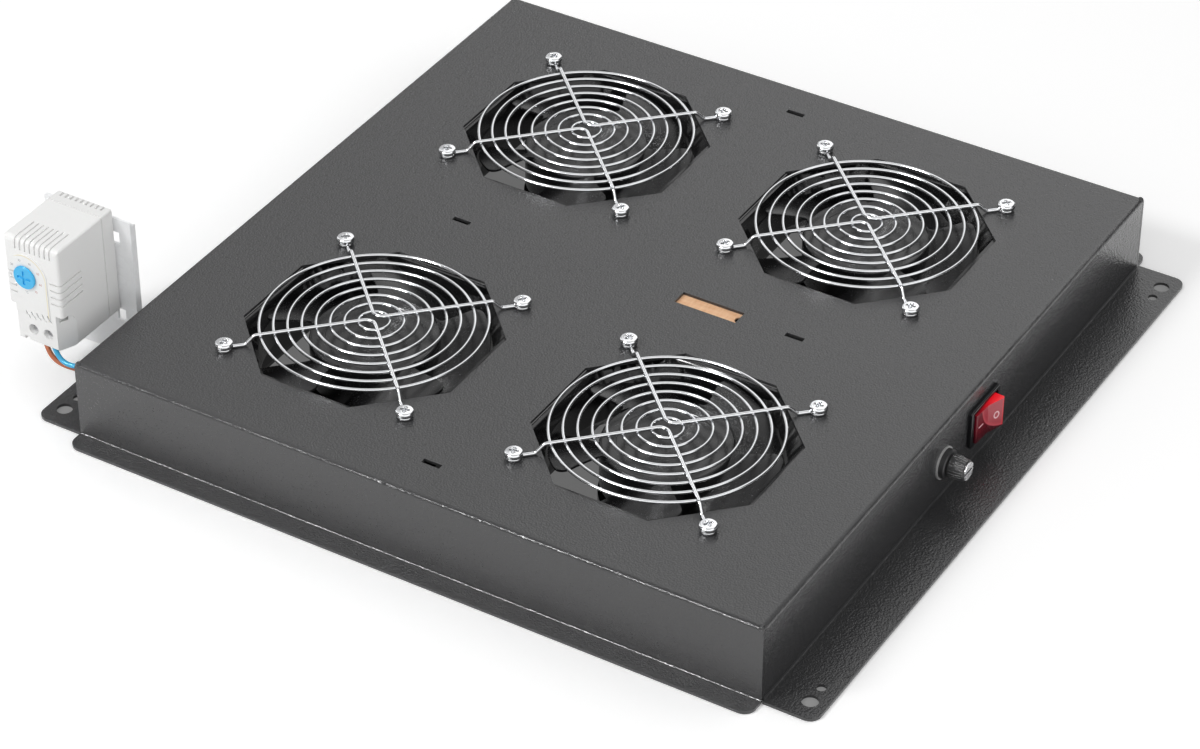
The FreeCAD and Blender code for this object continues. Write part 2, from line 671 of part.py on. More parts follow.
def blade():
    """A pitched, cambered blade with rounded tip corners, its root turned back from its tip."""
    tip = FAN_BORE_R - BLADE_TIP_GAP
    root = HUB_R - BLADE_SINK
    beyond = tip / math.cos(math.radians(BLADE_SPAN_DEG) / 4)
    sections = []
    for radius in (root - THROUGH, (root + tip) / 2, beyond):
        section = blade_section(radius)
        section.rotate(V(0, 0, 0), Z, -BLADE_SWEEP_DEG * (tip - radius) / (tip - root))
        sections.append(section)
    loft = Part.makeLoft(sections, True, False)
    half, wide = math.radians(BLADE_SPAN_DEG) / 2, math.radians(BLADE_SPAN_DEG + BLADE_FLARE_DEG) / 2
    back = math.radians(BLADE_SWEEP_DEG)
    flat = []
    for radius, angle, corner in ((root, -wide - back, 0), (tip, -half, BLADE_CORNER_R),
                                  (tip / math.cos(half), 0, 0), (tip, half, BLADE_CORNER_R / 2),
                                  (root, wide - back, 0)):
        flat.append(((radius * math.cos(angle), radius * math.sin(angle), 0), corner))
    plan = prism([p for p, c in flat], [c for p, c in flat], Z * FAN_DEPTH)
    plan = plan.common(Part.makeCylinder(tip, FAN_DEPTH))
    plan = plan.cut(Part.makeCylinder(root, FAN_DEPTH))
    return loft.common(plan)


def impeller():
    face = FAN_DEPTH - HUB_DROP
    skirt = face - HUB_SKIRT_H
    hub = turned([(0, ROTOR_TOP), (ROTOR_R, ROTOR_TOP), (ROTOR_R, skirt), (HUB_R, skirt),
                  (HUB_R, face - HUB_EDGE_R), (HUB_R - HUB_EDGE_R, face), (0, face)])
    one = blade()
    blades = []
    for i in range(BLADES):
        copy = one.copy()
        copy.rotate(V(0, 0, 0), Z, 360.0 / BLADES * i)
        blades.append(copy)
    return hub.fuse(blades).removeSplitter()


def fan_inner_parts():
    """Rotor cup, shaft, bearings and stator, all about the fan's own axis."""
    inside = ROTOR_R - ROTOR_WALL
    plate = ROTOR_TOP - ROTOR_WALL
    cup = turned([(SHAFT_R, ROTOR_BOSS_LOW), (ROTOR_BOSS_R, ROTOR_BOSS_LOW), (ROTOR_BOSS_R, plate),
                  (inside, plate), (inside, ROTOR_TOP - ROTOR_H), (ROTOR_R, ROTOR_TOP - ROTOR_H),
                  (ROTOR_R, ROTOR_TOP), (SHAFT_R, ROTOR_TOP)])
    shaft = rod(SHAFT_R, (0, 0, CORE_LOW), (0, 0, ROTOR_TOP))
    upper = TUBE_TOP - BEARING_H - BEARING_DROP
    rings = [tube(BEARING_R, SHAFT_R + FIT, (0, 0, z), (0, 0, z + BEARING_H)) for z in (CORE_LOW, upper)]
    core_high = CORE_LOW + STATOR_H
    core = tube(inside - AIR_GAP, TUBE_R, (0, 0, CORE_LOW), (0, 0, core_high))
    slots = []
    for i in range(STATOR_POLES):
        slot = box(TUBE_R + STATOR_CORE_T, inside + THROUGH, -POLE_SLOT_W / 2, POLE_SLOT_W / 2,
                   CORE_LOW - THROUGH, core_high + THROUGH)
        slot.rotate(V(0, 0, 0), Z, 360.0 / STATOR_POLES * (i + 0.5))
        slots.append(slot)
    bearings, stator = Part.makeCompound(rings), core.cut(slots)
    return {"rotor_cup": cup, "fan_shaft": shaft, "fan_bearings": bearings, "stator": stator}


# ================= guards and fasteners =================
def guard_arm(side):
    """A V of wire from screw to screw; side is +1 or -1 along X."""
    half = FAN_PITCH / 2
    high = RING_LIFT + RING_WIRE_R + ARM_WIRE_R - WELD
    low = ARM_WIRE_R
    apex = V(side * ARM_APEX, 0, high)
    way = (V(side * half, half, high) - apex).normalize()
    step = RING_LAST_R + ARM_STEP_AT
    legs = []
    for sy in (1, -1):
        out = V(way.x, way.y * sy, 0)
        end = V(side * half, half * sy, low) - out * EYE_R
        down = apex + out * (step - ARM_APEX)
        foot = V(down.x, down.y, low) + out * (high - low)
        legs.append([tuple(down), tuple(foot), tuple(end)])
    route = legs[0][::-1] + [tuple(apex)] + legs[1]
    bends = [0, ARM_BEND_R, ARM_BEND_R, ARM_APEX_R, ARM_BEND_R, ARM_BEND_R, 0]
    path = Part.Wire(rounded_edges(route, bends, False))
    start = V(*route[0])
    profile = Part.Wire(Part.makeCircle(ARM_WIRE_R, start, V(*route[1]) - start))
    wire = path.makePipeShell([profile], True, False)
    eyes = [Part.makeTorus(EYE_R, ARM_WIRE_R, V(side * half, half * sy, low)) for sy in (1, -1)]
    return [wire] + eyes


def guard():
    """Finger guard about the fan's axis, its underside on z = 0."""
    pitch = (RING_LAST_R - RING_FIRST_R) / (RINGS - 1)
    rings = [Part.makeTorus(RING_FIRST_R + pitch * i, RING_WIRE_R, V(0, 0, RING_LIFT)) for i in range(RINGS)]
    arms = guard_arm(1) + guard_arm(-1)
    return arms[0].fuse(arms[1:] + rings)


def pan_head(head_r, head_h, dome):
    """Domed pan head with a cross recess, about Z, underside on z = 0."""
    top_r = head_r * 0.72
    profile = [V(0, 0, 0), V(head_r - 0.2, 0, 0), V(head_r, 0, 0.5), V(head_r, 0, head_h - dome * 1.4)]
    rim, crown = V(top_r, 0, head_h - dome * 0.3), V(0, 0, head_h)
    knee = V(head_r * 0.93, 0, head_h - dome * 0.72)
    edges = [Part.LineSegment(a, b).toShape() for a, b in zip(profile, profile[1:])]
    edges.append(Part.Arc(profile[-1], knee, rim).toShape())
    edges.append(Part.Arc(rim, V(top_r * 0.5, 0, head_h - dome * 0.08), crown).toShape())
    edges.append(Part.LineSegment(crown, profile[0]).toShape())
    head = Part.Face(Part.Wire(edges)).revolve(V(0, 0, 0), Z, 360)
    floor = head_h - CROSS_DEPTH
    bars = [box(-CROSS_L / 2, CROSS_L / 2, -CROSS_W / 2, CROSS_W / 2, floor, head_h + THROUGH),
            box(-CROSS_W / 2, CROSS_W / 2, -CROSS_L / 2, CROSS_L / 2, floor, head_h + THROUGH)]
    return head.cut(bars)


def machine_screw(grip):
    """Pan-head screw about Z: head underside on z = 0, thread down through grip and nut."""
    length = grip + NUT_H + SCREW_TAIL
    return pan_head(SCREW_HEAD_R, SCREW_HEAD_H, SCREW_DOME).fuse(rod(SCREW_R, (0, 0, -length), (0, 0, 0.2)))


def hex_nut():
    """Nut about Z with chamfered corners, top face on z = 0."""
    body = polygon_prism(6, NUT_FLATS, (0, 0, -NUT_H), Z, NUT_H)
    corner = NUT_FLATS / 2 / math.cos(math.pi / 6)
    cone = turned([(0, -NUT_H), (corner - NUT_CHAMFER, -NUT_H), (corner, -NUT_H + NUT_CHAMFER_H),
                   (corner, -NUT_CHAMFER_H), (corner - NUT_CHAMFER, 0), (0, 0)])
    return body.common(cone).cut(rod(SCREW_R, (0, 0, -NUT_H - THROUGH), (0, 0, THROUGH)))


def placed(shape, x, y, z, turn=0.0):
    copy = shape.copy()
    copy.rotate(V(0, 0, 0), Z, turn)
    copy.translate(V(x, y, z))
    return copy


def make_fans():
    frame, wheel, inner, cage = fan_frame(), impeller(), fan_inner_parts(), guard()
    screw = machine_screw(2 * ARM_WIRE_R + SHEET + FAN_FLANGE_T)
    nut = hex_nut()
    screws, nuts = [], []
    for place, (x, y, phase) in FANS.items():
        save("fan_frame_" + place, placed(frame, x, y, FAN_BOTTOM))
        save("impeller_" + place, placed(wheel, x, y, FAN_BOTTOM, phase))
        for name, shape in inner.items():
            save(name + "_" + place, placed(shape, x, y, FAN_BOTTOM))
        save("fan_guard_" + place, placed(cage, x, y, TRAY_H))
        for i, (sx, sy) in enumerate(fan_corners()):
            screws.append(placed(screw, x + sx, y + sy, TRAY_H + 2 * ARM_WIRE_R, 25 + 37 * i + phase))
            nuts.append(placed(nut, x + sx, y + sy, CEILING - FAN_FLANGE_T, 45))
    save("guard_screws", Part.makeCompound(screws))
    save("guard_nuts", Part.makeCompound(nuts))


# ================= rocker switch =================
def rocker():
    """Rocker tipped to its rest side, pins included; the pivot runs along Z."""
    pivot_y = FRONT + PIVOT_IN
    half = ROCKER_W / 2
    end_y, dip_y = FRONT - ROCKER_OUT, FRONT - ROCKER_OUT + ROCKER_DIP
    height = ROCKER_MOUTH_H - 2 * ROCKER_SIDE
    low = SWITCH_Z - height / 2
    waist, keel, keel_y = half - ROCKER_LEAN, half - ROCKER_KEEL_IN, pivot_y + ROCKER_KEEL
    outline = [(-half, end_y, low), (0, dip_y, low), (half, end_y, low), (waist, pivot_y, low),
               (keel, keel_y, low), (-keel, keel_y, low), (-waist, pivot_y, low)]
    body = prism(outline, ROCKER_RADII, Z * height)
    body = body.fuse(rod(PIVOT_R, (0, pivot_y, low - PIVOT_PIN), (0, pivot_y, low + height + PIVOT_PIN)))
    body.rotate(V(0, pivot_y, 0), Z, -ROCKER_TILT)
    body.translate(X * SWITCH_X)
    return body


def switch_body():
    x0, x1 = SWITCH_X - BEZEL_W / 2, SWITCH_X + BEZEL_W / 2
    z0, z1 = SWITCH_Z - BEZEL_H / 2, SWITCH_Z + BEZEL_H / 2
    bezel = rounded_box(x0, x1, FRONT - BEZEL_T, FRONT, z0, z1, BEZEL_R, "Y")
    rim = [e for e in bezel.Edges if abs(e.BoundBox.YMax - (FRONT - BEZEL_T)) < 1e-6]
    bezel = bezel.makeFillet(BEZEL_EDGE_R, rim)
    half_w, half_h = SWITCH_BODY_W / 2, SWITCH_BODY_H / 2
    block = box(SWITCH_X - half_w, SWITCH_X + half_w, FRONT, FRONT + SWITCH_DEPTH,
                SWITCH_Z - half_h, SWITCH_Z + half_h)
    snap_y = FRONT + SHEET + GAP
    snaps = []
    for side in (-1, 1):
        edge = SWITCH_X + side * half_w
        foot = SWITCH_Z - SNAP_W / 2
        outline = [(edge, snap_y, foot), (edge + side * SNAP_OUT, snap_y, foot),
                   (edge, snap_y + SNAP_L, foot)]
        snaps.append(prism(outline, 0, Z * SNAP_W))
    mouth_w, mouth_h = ROCKER_MOUTH_W / 2, ROCKER_MOUTH_H / 2
    mouth = rounded_box(SWITCH_X - mouth_w, SWITCH_X + mouth_w,
                        FRONT - BEZEL_T - THROUGH, FRONT + ROCKER_POCKET,
                        SWITCH_Z - mouth_h, SWITCH_Z + mouth_h, BEZEL_EDGE_R, "Y")
    reach = mouth_h + PIVOT_SEAT
    pivot_y = FRONT + PIVOT_IN
    pins = rod(PIVOT_R + FIT, (SWITCH_X, pivot_y, SWITCH_Z - reach), (SWITCH_X, pivot_y, SWITCH_Z + reach))
    return bezel.fuse([block] + snaps).cut([mouth, pins]).removeSplitter()


def make_switch():
    save("switch_body", switch_body())
    save("switch_rocker", rocker())
    rear = FRONT + SWITCH_DEPTH
    tabs = []
    for sx in (-0.5, 0.5):
        for sz in (-0.5, 0.5):
            x, z = SWITCH_X + sx * TAB_PITCH_X, SWITCH_Z + sz * TAB_PITCH_Z
            outline = [(x - TAB_W / 2, rear, z), (x + TAB_W / 2, rear, z),
                       (x + TAB_W / 2, rear + TAB_L, z), (x - TAB_W / 2, rear + TAB_L, z)]
            tab = prism(outline, [0, 0, TAB_CORNER_R, TAB_CORNER_R], Z * TAB_T)
            hole_y = rear + TAB_L - TAB_HOLE_IN
            tabs.append(tab.cut(rod(TAB_HOLE_R, (x, hole_y, z - THROUGH), (x, hole_y, z + TAB_T + THROUGH))))
    save("switch_terminals", Part.makeCompound(tabs))


# ================= fuse holder =================
def make_fuse_holder():
    out, into = Y * -1, Y
    seat = FRONT - FUSE_RING_T                  # ring's outer face carries the holder's flange
    ring = tube(FUSE_RING_R, FUSE_BODY_R + HOLE_PLAY, (FUSE_X, FRONT, FUSE_Z), (FUSE_X, seat, FUSE_Z))
    save("fuse_holder_ring", ring)
    # body about Z: z = 0 at the flange's mouth face, growing into the tray
    length = FUSE_FLANGE_T + FUSE_RING_T + FUSE_BODY_L
    rim, tail = FUSE_FLANGE_R - FUSE_FLANGE_CHAMFER, FUSE_BODY_R - FUSE_BODY_CHAMFER
    floor = length - FUSE_FLOOR
    body = turned([(FUSE_BORE_R, 0), (rim, 0), (FUSE_FLANGE_R, FUSE_FLANGE_CHAMFER),
                   (FUSE_FLANGE_R, FUSE_FLANGE_T), (FUSE_BODY_R, FUSE_FLANGE_T),
                   (FUSE_BODY_R, length - FUSE_BODY_CHAMFER), (tail, length), (0, length), (0, floor),
                   (FUSE_BORE_R, floor)])
    mouth = seat - FUSE_FLANGE_T
    save("fuse_holder_body", along(body, into, (FUSE_X, mouth, FUSE_Z)))
    inside = FRONT + SHEET
    nut = polygon_prism(6, FUSE_NUT_FLATS, (0, 0, 0), Z, FUSE_NUT_T)
    nut = nut.cut(rod(FUSE_BODY_R, (0, 0, -THROUGH), (0, 0, FUSE_NUT_T + THROUGH)))
    save("fuse_holder_nut", along(nut, into, (FUSE_X, inside, FUSE_Z)))
    # cap about Z: z = 0 at the mouth face, growing out towards the user
    stem, socket = CAP_STEM_R - FIT, LINK_R + FIT
    cap = turned([(socket, -CAP_STEM_L), (stem, -CAP_STEM_L), (stem, CAP_NECK), (CAP_R, CAP_NECK),
                  (CAP_R, CAP_NECK + CAP_BAND), (CAP_TIP_R + CAP_CHAMFER, CAP_L - CAP_CHAMFER_H),
                  (CAP_TIP_R - CAP_CHAMFER, CAP_L), (0, CAP_L), (0, -CAP_STEM_L + LINK_IN_CAP),
                  (socket, -CAP_STEM_L + LINK_IN_CAP)])
    cuts = []
    for i in range(CAP_RIBS):
        angle = 2 * math.pi * i / CAP_RIBS
        foot, tip = CAP_R + CAP_GROOVE_OUT, CAP_TIP_R + CAP_CHAMFER + CAP_GROOVE_OUT
        way = V(math.cos(angle), math.sin(angle), 0)
        cuts.append(rod(CAP_GROOVE_R, tuple(way * foot + Z * CAP_NECK), tuple(way * tip + Z * CAP_L)))
    slot_l, slot_w = CAP_SLOT_L / 2, CAP_SLOT_W / 2
    cuts.append(box(-slot_l, slot_l, -slot_w, slot_w, CAP_L - CAP_SLOT_DEPTH, CAP_L + THROUGH))
    save("fuse_cap", along(cap.cut(cuts), out, (FUSE_X, mouth, FUSE_Z)))
    # fuse link about Z: its front end sits in the cap's socket
    start = mouth + CAP_STEM_L - LINK_IN_CAP
    glass = LINK_R - LINK_GLASS_IN
    far_cap = LINK_L - LINK_CAP_L
    link = turned([(0, 0), (LINK_R, 0), (LINK_R, LINK_CAP_L), (glass, LINK_CAP_L), (glass, far_cap),
                   (LINK_R, far_cap), (LINK_R, LINK_L), (0, LINK_L)])
    save("fuse_link", along(link, into, (FUSE_X, start + GAP, FUSE_Z)))
    rear = mouth + length
    half = FUSE_TAB_W / 2
    thick, side_y, low = FUSE_TAB_T / 2, rear - FUSE_SIDE_TAB_IN, FUSE_Z - FUSE_BODY_R
    end_tab = box(FUSE_X - half, FUSE_X + half, rear, rear + FUSE_TAB_L, FUSE_Z - thick, FUSE_Z + thick)
    side_tab = box(FUSE_X - half, FUSE_X + half, side_y, side_y + FUSE_TAB_T, low - FUSE_TAB_L, low)
    save("fuse_terminals", Part.makeCompound([end_tab, side_tab]))


# ================= thermostat =================
def thermostat_outline(inset):
    """Corners of the housing's front view, shrunk by an inset."""
    half = THERMO_W / 2 - inset
    low, high = THERMO_Z0 + inset, THERMO_Z0 + THERMO_H - inset
    return THERMO_Y - half, THERMO_Y + half, low, high


def scoops():
    """Cutters of the two scooped lower front corners."""
    cuts = []
    top = THERMO_Z0 + SCOOP_H
    for side in (-1, 1):
        edge = THERMO_Y + side * THERMO_W / 2
        out = edge + side
        outline = [(THERMO_X - 1, out, THERMO_Z0 - 1), (THERMO_X - 1, out, top),
                   (THERMO_X + SCOOP_BACK, out, top), (THERMO_X + SCOOP_BACK, out, THERMO_Z0 - 1)]
        slab = prism(outline, [0, 0, SCOOP_TOP_R * 1.6, 0], Y * (-side * (SCOOP_IN + 1)))
        lean = [(THERMO_X - 1, edge - side * SCOOP_IN, 0), (THERMO_X, edge - side * SCOOP_IN, 0),
                (THERMO_X + SCOOP_BACK, edge, 0), (THERMO_X + SCOOP_BACK, edge + 2 * side, 0),
                (THERMO_X - 1, edge + 2 * side, 0)]
        cuts.append(slab.common(prism(lean, 0, Z * (THERMO_Z0 + THERMO_H))))
    return cuts


def thermostat_vents():
    """Slots over the top front edge, slits round the front corners and gills below the dial."""
    cuts = []
    top = THERMO_Z0 + THERMO_H
    for i in range(VENTS):
        y = THERMO_Y - THERMO_W / 2 + VENT_FROM_SIDE + VENT_PITCH * i
        band = box(THERMO_X - THROUGH, THERMO_X + VENT_BACK, y - VENT_W / 2, y + VENT_W / 2,
                   top - VENT_DOWN, top + THROUGH)
        core = box(THERMO_X + SLIT_CUT, THERMO_X + VENT_BACK + THROUGH, y - VENT_W, y + VENT_W,
                   top - VENT_DOWN - THROUGH, top - SLIT_CUT)
        cuts.append(band.cut(core))
    for i in range(SLITS):
        z = SLIT_TOP_Z - SLIT_PITCH * i
        for side in (-1, 1):
            edge = THERMO_Y + side * THERMO_W / 2
            inner = edge - side * SLIT_CUT
            y0, y1 = sorted((edge + side * THROUGH, edge - side * SLIT_ACROSS))
            band = box(THERMO_X - THROUGH, THERMO_X + SLIT_BACK, y0, y1, z - SLIT_W / 2, z + SLIT_W / 2)
            c0, c1 = sorted((inner, THERMO_Y))
            core = box(THERMO_X + SLIT_CUT, THERMO_X + SLIT_BACK + THROUGH, c0, c1, z - SLIT_W, z + SLIT_W)
            cuts.append(band.cut(core))
    for i in range(GILLS):
        y, z = THERMO_Y + GILL_SIDE + GILL_PITCH * i, GILL_Z + GILL_STEP_Z * i
        arc_top, arc_mid, arc_low = (y + GILL_LEAN, z + GILL_L / 2), (y, z), (y - GILL_TAIL, z - GILL_L / 2)
        cuts.append(gill_cut(arc_top, arc_mid, arc_low))
    return cuts


def gill_cut(top, middle, low):
    """A curved slit through the front face; its points are (y, z)."""
    def arc(shift):
        points = [V(THERMO_X - THROUGH, p[0] + shift, p[1]) for p in (top, middle, low)]
        return Part.Arc(*points)
    one, two = arc(-GILL_W / 2), arc(GILL_W / 2)
    low_end = Part.LineSegment(one.EndPoint, two.EndPoint)
    high_end = Part.LineSegment(two.StartPoint, one.StartPoint)
    wire = Part.Wire(Part.__sortEdges__([edge.toShape() for edge in (one, low_end, two, high_end)]))
    return Part.Face(wire).extrude(X * (THROUGH + SLIT_CUT))


def terminal_rows():
    return [THERMO_Y + side for side in TERMINAL_SIDES]


def thermostat_housing():
    y0, y1, z0, z1 = thermostat_outline(0)
    rear = THERMO_X + SHELL_L
    # side view with the rounded top and bottom front edges, pushed across the width
    side_view = [(THERMO_X, y0, z0), (rear, y0, z0), (rear, y0, z1), (THERMO_X, y0, z1)]
    body = prism(side_view, [SHELL_SIDE_R, 0, 0, SHELL_EDGE_R], Y * (y1 - y0))
    plan = prism([(THERMO_X, y0, z0), (rear, y0, z0), (rear, y1, z0), (THERMO_X, y1, z0)],
                 [SHELL_SIDE_R * 1.6, 0, 0, SHELL_SIDE_R * 1.6], Z * (z1 - z0))
    front_view = prism([(THERMO_X, y0, z0), (THERMO_X, y1, z0), (THERMO_X, y1, z1), (THERMO_X, y0, z1)],
                       [SHELL_SIDE_R, SHELL_SIDE_R, SHELL_SIDE_R, SHELL_SIDE_R], X * SHELL_L)
    body = body.common(plan).common(front_view)
    # raised arch round the dial, running down to the terminals
    left, right = y1 - SHELL_SIDE_R * 1.6, DIAL_Y - ARCH_R
    foot = DIAL_Z - ARCH_DOWN
    shoulder, crown = DIAL_Z + ARCH_SHOULDER, DIAL_Z + ARCH_R
    face = THERMO_X - ARCH_T
    arch_edges = [Part.LineSegment(V(face, right, DIAL_Z), V(face, right, foot)).toShape(),
                  Part.LineSegment(V(face, right, foot), V(face, left, foot)).toShape(),
                  Part.LineSegment(V(face, left, foot), V(face, left, shoulder)).toShape(),
                  Part.Arc(V(face, left, shoulder), V(face, DIAL_Y, crown), V(face, right, DIAL_Z)).toShape()]
    body = body.fuse(Part.Face(Part.Wire(Part.__sortEdges__(arch_edges))).extrude(X * (2 * ARCH_T)))
    c0, c1, low, high = thermostat_outline(SHELL_WALL)
    cavity = box(THERMO_X + SHELL_WALL, rear + 1, c0, c1, THERMO_Z0 + TERMINAL_BLOCK_H, high)
    cuts = scoops() + thermostat_vents() + [cavity]
    start = THERMO_X - ARCH_T - THROUGH
    behind = THERMO_X + SHELL_WALL + THROUGH
    cuts.append(rod(DIAL_POST_R + FIT, (start, DIAL_Y, DIAL_Z), (behind, DIAL_Y, DIAL_Z)))
    hole_end = THERMO_X + TERMINAL_HOLE_DEPTH
    for y in terminal_rows():
        cuts.append(rod(TERMINAL_HOLE_R, (start, y, TERMINAL_Z), (hole_end, y, TERMINAL_Z)))
    for route in (BROWN_ROUTE, BLUE_ROUTE):
        inner_end, below = V(*route[0]), V(*route[1])
        cuts.append(rod(LEAD_R + HOLE_PLAY, inner_end, below))
    notch_y, half = THERMO_Y + FOOT_NOTCH_SIDE, FOOT_NOTCH_W / 2
    cuts.append(box(THERMO_X - THROUGH, THERMO_X + FOOT_NOTCH_L, notch_y - half, notch_y + half,
                    z0 - THROUGH, z0 + FOOT_NOTCH_H))
    return body.cut(cuts)


def thermostat_base():
    y0, y1, z0, z1 = thermostat_outline(0)
    x0, x1 = THERMO_X + SHELL_L, BRACKET_X
    body = rounded_box(x0, x1, y0, y1, z0, z1, SHELL_SIDE_R, "X")
    inset = STEP_GROOVE
    ring = box(x0, x0 + 2 * inset, y0 - 1, y1 + 1, z0 - 1, z1 + 1)
    ring = ring.cut(box(x0 - 1, x1 + 1, y0 + inset, y1 - inset, z0 + inset, z1 - inset))
    ledge = box(x1 - BASE_LEDGE, x1 + 1, y0 - 1, y1 + 1, z0 - 1, z1 + 1)
    ledge = ledge.cut(box(x0, x1 + 2, y0 + BASE_LEDGE, y1 - BASE_LEDGE, z0 - 2, z1 - BASE_LEDGE))
    cuts = [ring, ledge]
    start = THERMO_Y - COMB_PITCH * (COMB_SLOTS - 1) / 2
    for i in range(COMB_SLOTS):
        y = start + COMB_PITCH * i
        cuts.append(box(x1 - COMB_L, x1 + 1, y - COMB_W / 2, y + COMB_W / 2, z1 - COMB_DEPTH, z1 + 1))
    return body.cut(cuts)


def make_thermostat():
    save("thermostat_housing", thermostat_housing())
    save("thermostat_base", thermostat_base())
    # dial about Z: z = 0 on the raised arch, growing towards the user
    seat = THERMO_X - ARCH_T
    dial = turned([(0, 0), (DIAL_R, 0), (DIAL_R, DIAL_T - DIAL_CHAMFER), (DIAL_R - DIAL_CHAMFER, DIAL_T),
                   (0, DIAL_T)])
    dial = dial.fuse(rod(DIAL_POST_R, (0, 0, -DIAL_POST_L), (0, 0, DIAL_CHAMFER)))
    top = DIAL_T + THROUGH
    floor = DIAL_T - DIAL_SLOT_DEPTH
    slots = [box(-DIAL_SLOT_L / 2, DIAL_SLOT_L / 2, -DIAL_SLOT_W / 2, DIAL_SLOT_W / 2, floor, top),
             box(-DIAL_SLOT_W / 2, DIAL_SLOT_W / 2, -DIAL_SLOT_L / 2, DIAL_SLOT_L / 2, floor, top)]
    dial = along(dial.cut(slots), X * -1, (0, 0, 0))
    dial.translate(V(seat - GAP, DIAL_Y, DIAL_Z))
    save("thermostat_dial", dial)
    screws = []
    end = THERMO_X + TERMINAL_HOLE_DEPTH
    start, half = end - TERMINAL_SCREW_L, TERMINAL_SLOT_W / 2
    for y in terminal_rows():
        screw = rod(TERMINAL_SCREW_R, (start, y, TERMINAL_Z), (end, y, TERMINAL_Z))
        slot = box(start - THROUGH, start + TERMINAL_SLOT_DEPTH, y - TERMINAL_SCREW_R, y + TERMINAL_SCREW_R,
                   TERMINAL_Z - half, TERMINAL_Z + half)
        screws.append(screw.cut(slot))
    save("thermostat_terminal_screws", Part.makeCompound(screws))
    # sensing strip: a bowed bimetal standing on the base inside the shell
    root, low = THERMO_X + SHELL_L, DIAL_Z - BIMETAL_DOWN
    tip = THERMO_X + SHELL_WALL + DIAL_POST_L + DIAL_POST_R
    line = [(root, DIAL_Y, low), (root - BIMETAL_W, DIAL_Y, low),
            (tip, DIAL_Y, DIAL_Z - DIAL_POST_R), (tip, DIAL_Y, DIAL_Z + DIAL_POST_R)]
    strip = bent_strip(line, BIMETAL_T, BEND_IN, Y * BIMETAL_W)
    save("thermostat_bimetal", strip)


# ================= bracket =================
def make_bracket():
    y0, y1 = BRACKET_Y0, 2 * THERMO_Y - BRACKET_Y0
    x0, x1 = BRACKET_X, BRACKET_X + BRACKET_T
    outline = [(x0, y0, SHEET), (x0, y1, SHEET), (x0, y1, BRACKET_TOP), (x0, y0, BRACKET_TOP)]
    plate = prism(outline, [0, 0, BRACKET_CORNER_R, BRACKET_CORNER_R], X * BRACKET_T)
    lip_top = BRACKET_TOP - BRACKET_LIP_DROP
    ear_top = EAR_Z0 + EAR_H
    lips = [box(x0, x1 + BRACKET_LIP, y0, y0 + BRACKET_T, ear_top + BEND_IN, lip_top),
            box(x0, x1 + BRACKET_LIP, y1 - BRACKET_T, y1, SHEET, lip_top)]
    mid_x, mid_y = x0 + BRACKET_T / 2, BACK + BRACKET_T / 2
    ear = bent_strip([(mid_x, y0 + THROUGH, EAR_Z0), (mid_x, mid_y, EAR_Z0), (x1 + EAR_W, mid_y, EAR_Z0)],
                     BRACKET_T, BEND_IN, Z * EAR_H)
    cuts = []
    for y in (y0 + BRACKET_SLOT_IN, y1 - BRACKET_SLOT_IN):
        for z in BRACKET_SLOT_Z:
            half_w, half_h = BRACKET_SLOT_W / 2, BRACKET_SLOT_H / 2
            cuts.append(box(x0 - THROUGH, x1 + THROUGH, y - half_w, y + half_w, z - half_h, z + half_h))
    for x, z in ear_screws():
        cuts.append(rod(SCREW_R + HOLE_PLAY, (x, BACK - THROUGH, z), (x, BACK + BRACKET_T + THROUGH, z)))
    save("thermostat_bracket", plate.fuse(lips + [ear]).cut(cuts).removeSplitter())
    screw = machine_screw(SHEET + BRACKET_T)
    nut = hex_nut()
    screws = [along(screw.copy(), Y, (x, BACK + BRACKET_T, z)) for x, z in ear_screws()]
    nuts = [along(nut.copy(), Y, (x, BACK - SHEET, z)) for x, z in ear_screws()]
    save("bracket_screws", Part.makeCompound(screws))
    save("bracket_nuts", Part.makeCompound(nuts))


# ================= leads, grommets, terminal strip, earth stud =================
def grommet(hole_r, bore_r):
    """Rubber ring about Z with a groove that holds the wall between z = 0 and SHEET."""
    lip, low, high = hole_r + GROMMET_LIP, -GROMMET_LIP_T, SHEET + GROMMET_LIP_T
    cut = GROMMET_CHAMFER
    return turned([(bore_r, low), (lip - cut, low), (lip, low + cut), (lip, 0), (hole_r, 0), (hole_r, SHEET),
                   (lip, SHEET), (lip, high - cut), (lip - cut, high), (bore_r, high)])


def lead(points):
    """A round lead along its route, every corner as open as its two runs allow."""
    pts = [V(*p) for p in points]
    radii = [0]
    for before, here, after in zip(pts, pts[1:], pts[2:]):
        turn = (here - before).getAngle(after - here)
        shorter = min((here - before).Length, (after - here).Length)
        radii.append(LEAD_SOFTNESS * shorter / math.tan(turn / 2))
    radii.append(0)
    path = Part.Wire(rounded_edges(points, radii, False))
    profile = Part.Wire(Part.makeCircle(LEAD_R, pts[0], pts[1] - pts[0]))
    return path.makePipeShell([profile], True, False)


def strip_rows():
    return [STRIP_Y + STRIP_PITCH * (i - (STRIP_POLES - 1) / 2) for i in range(STRIP_POLES)]


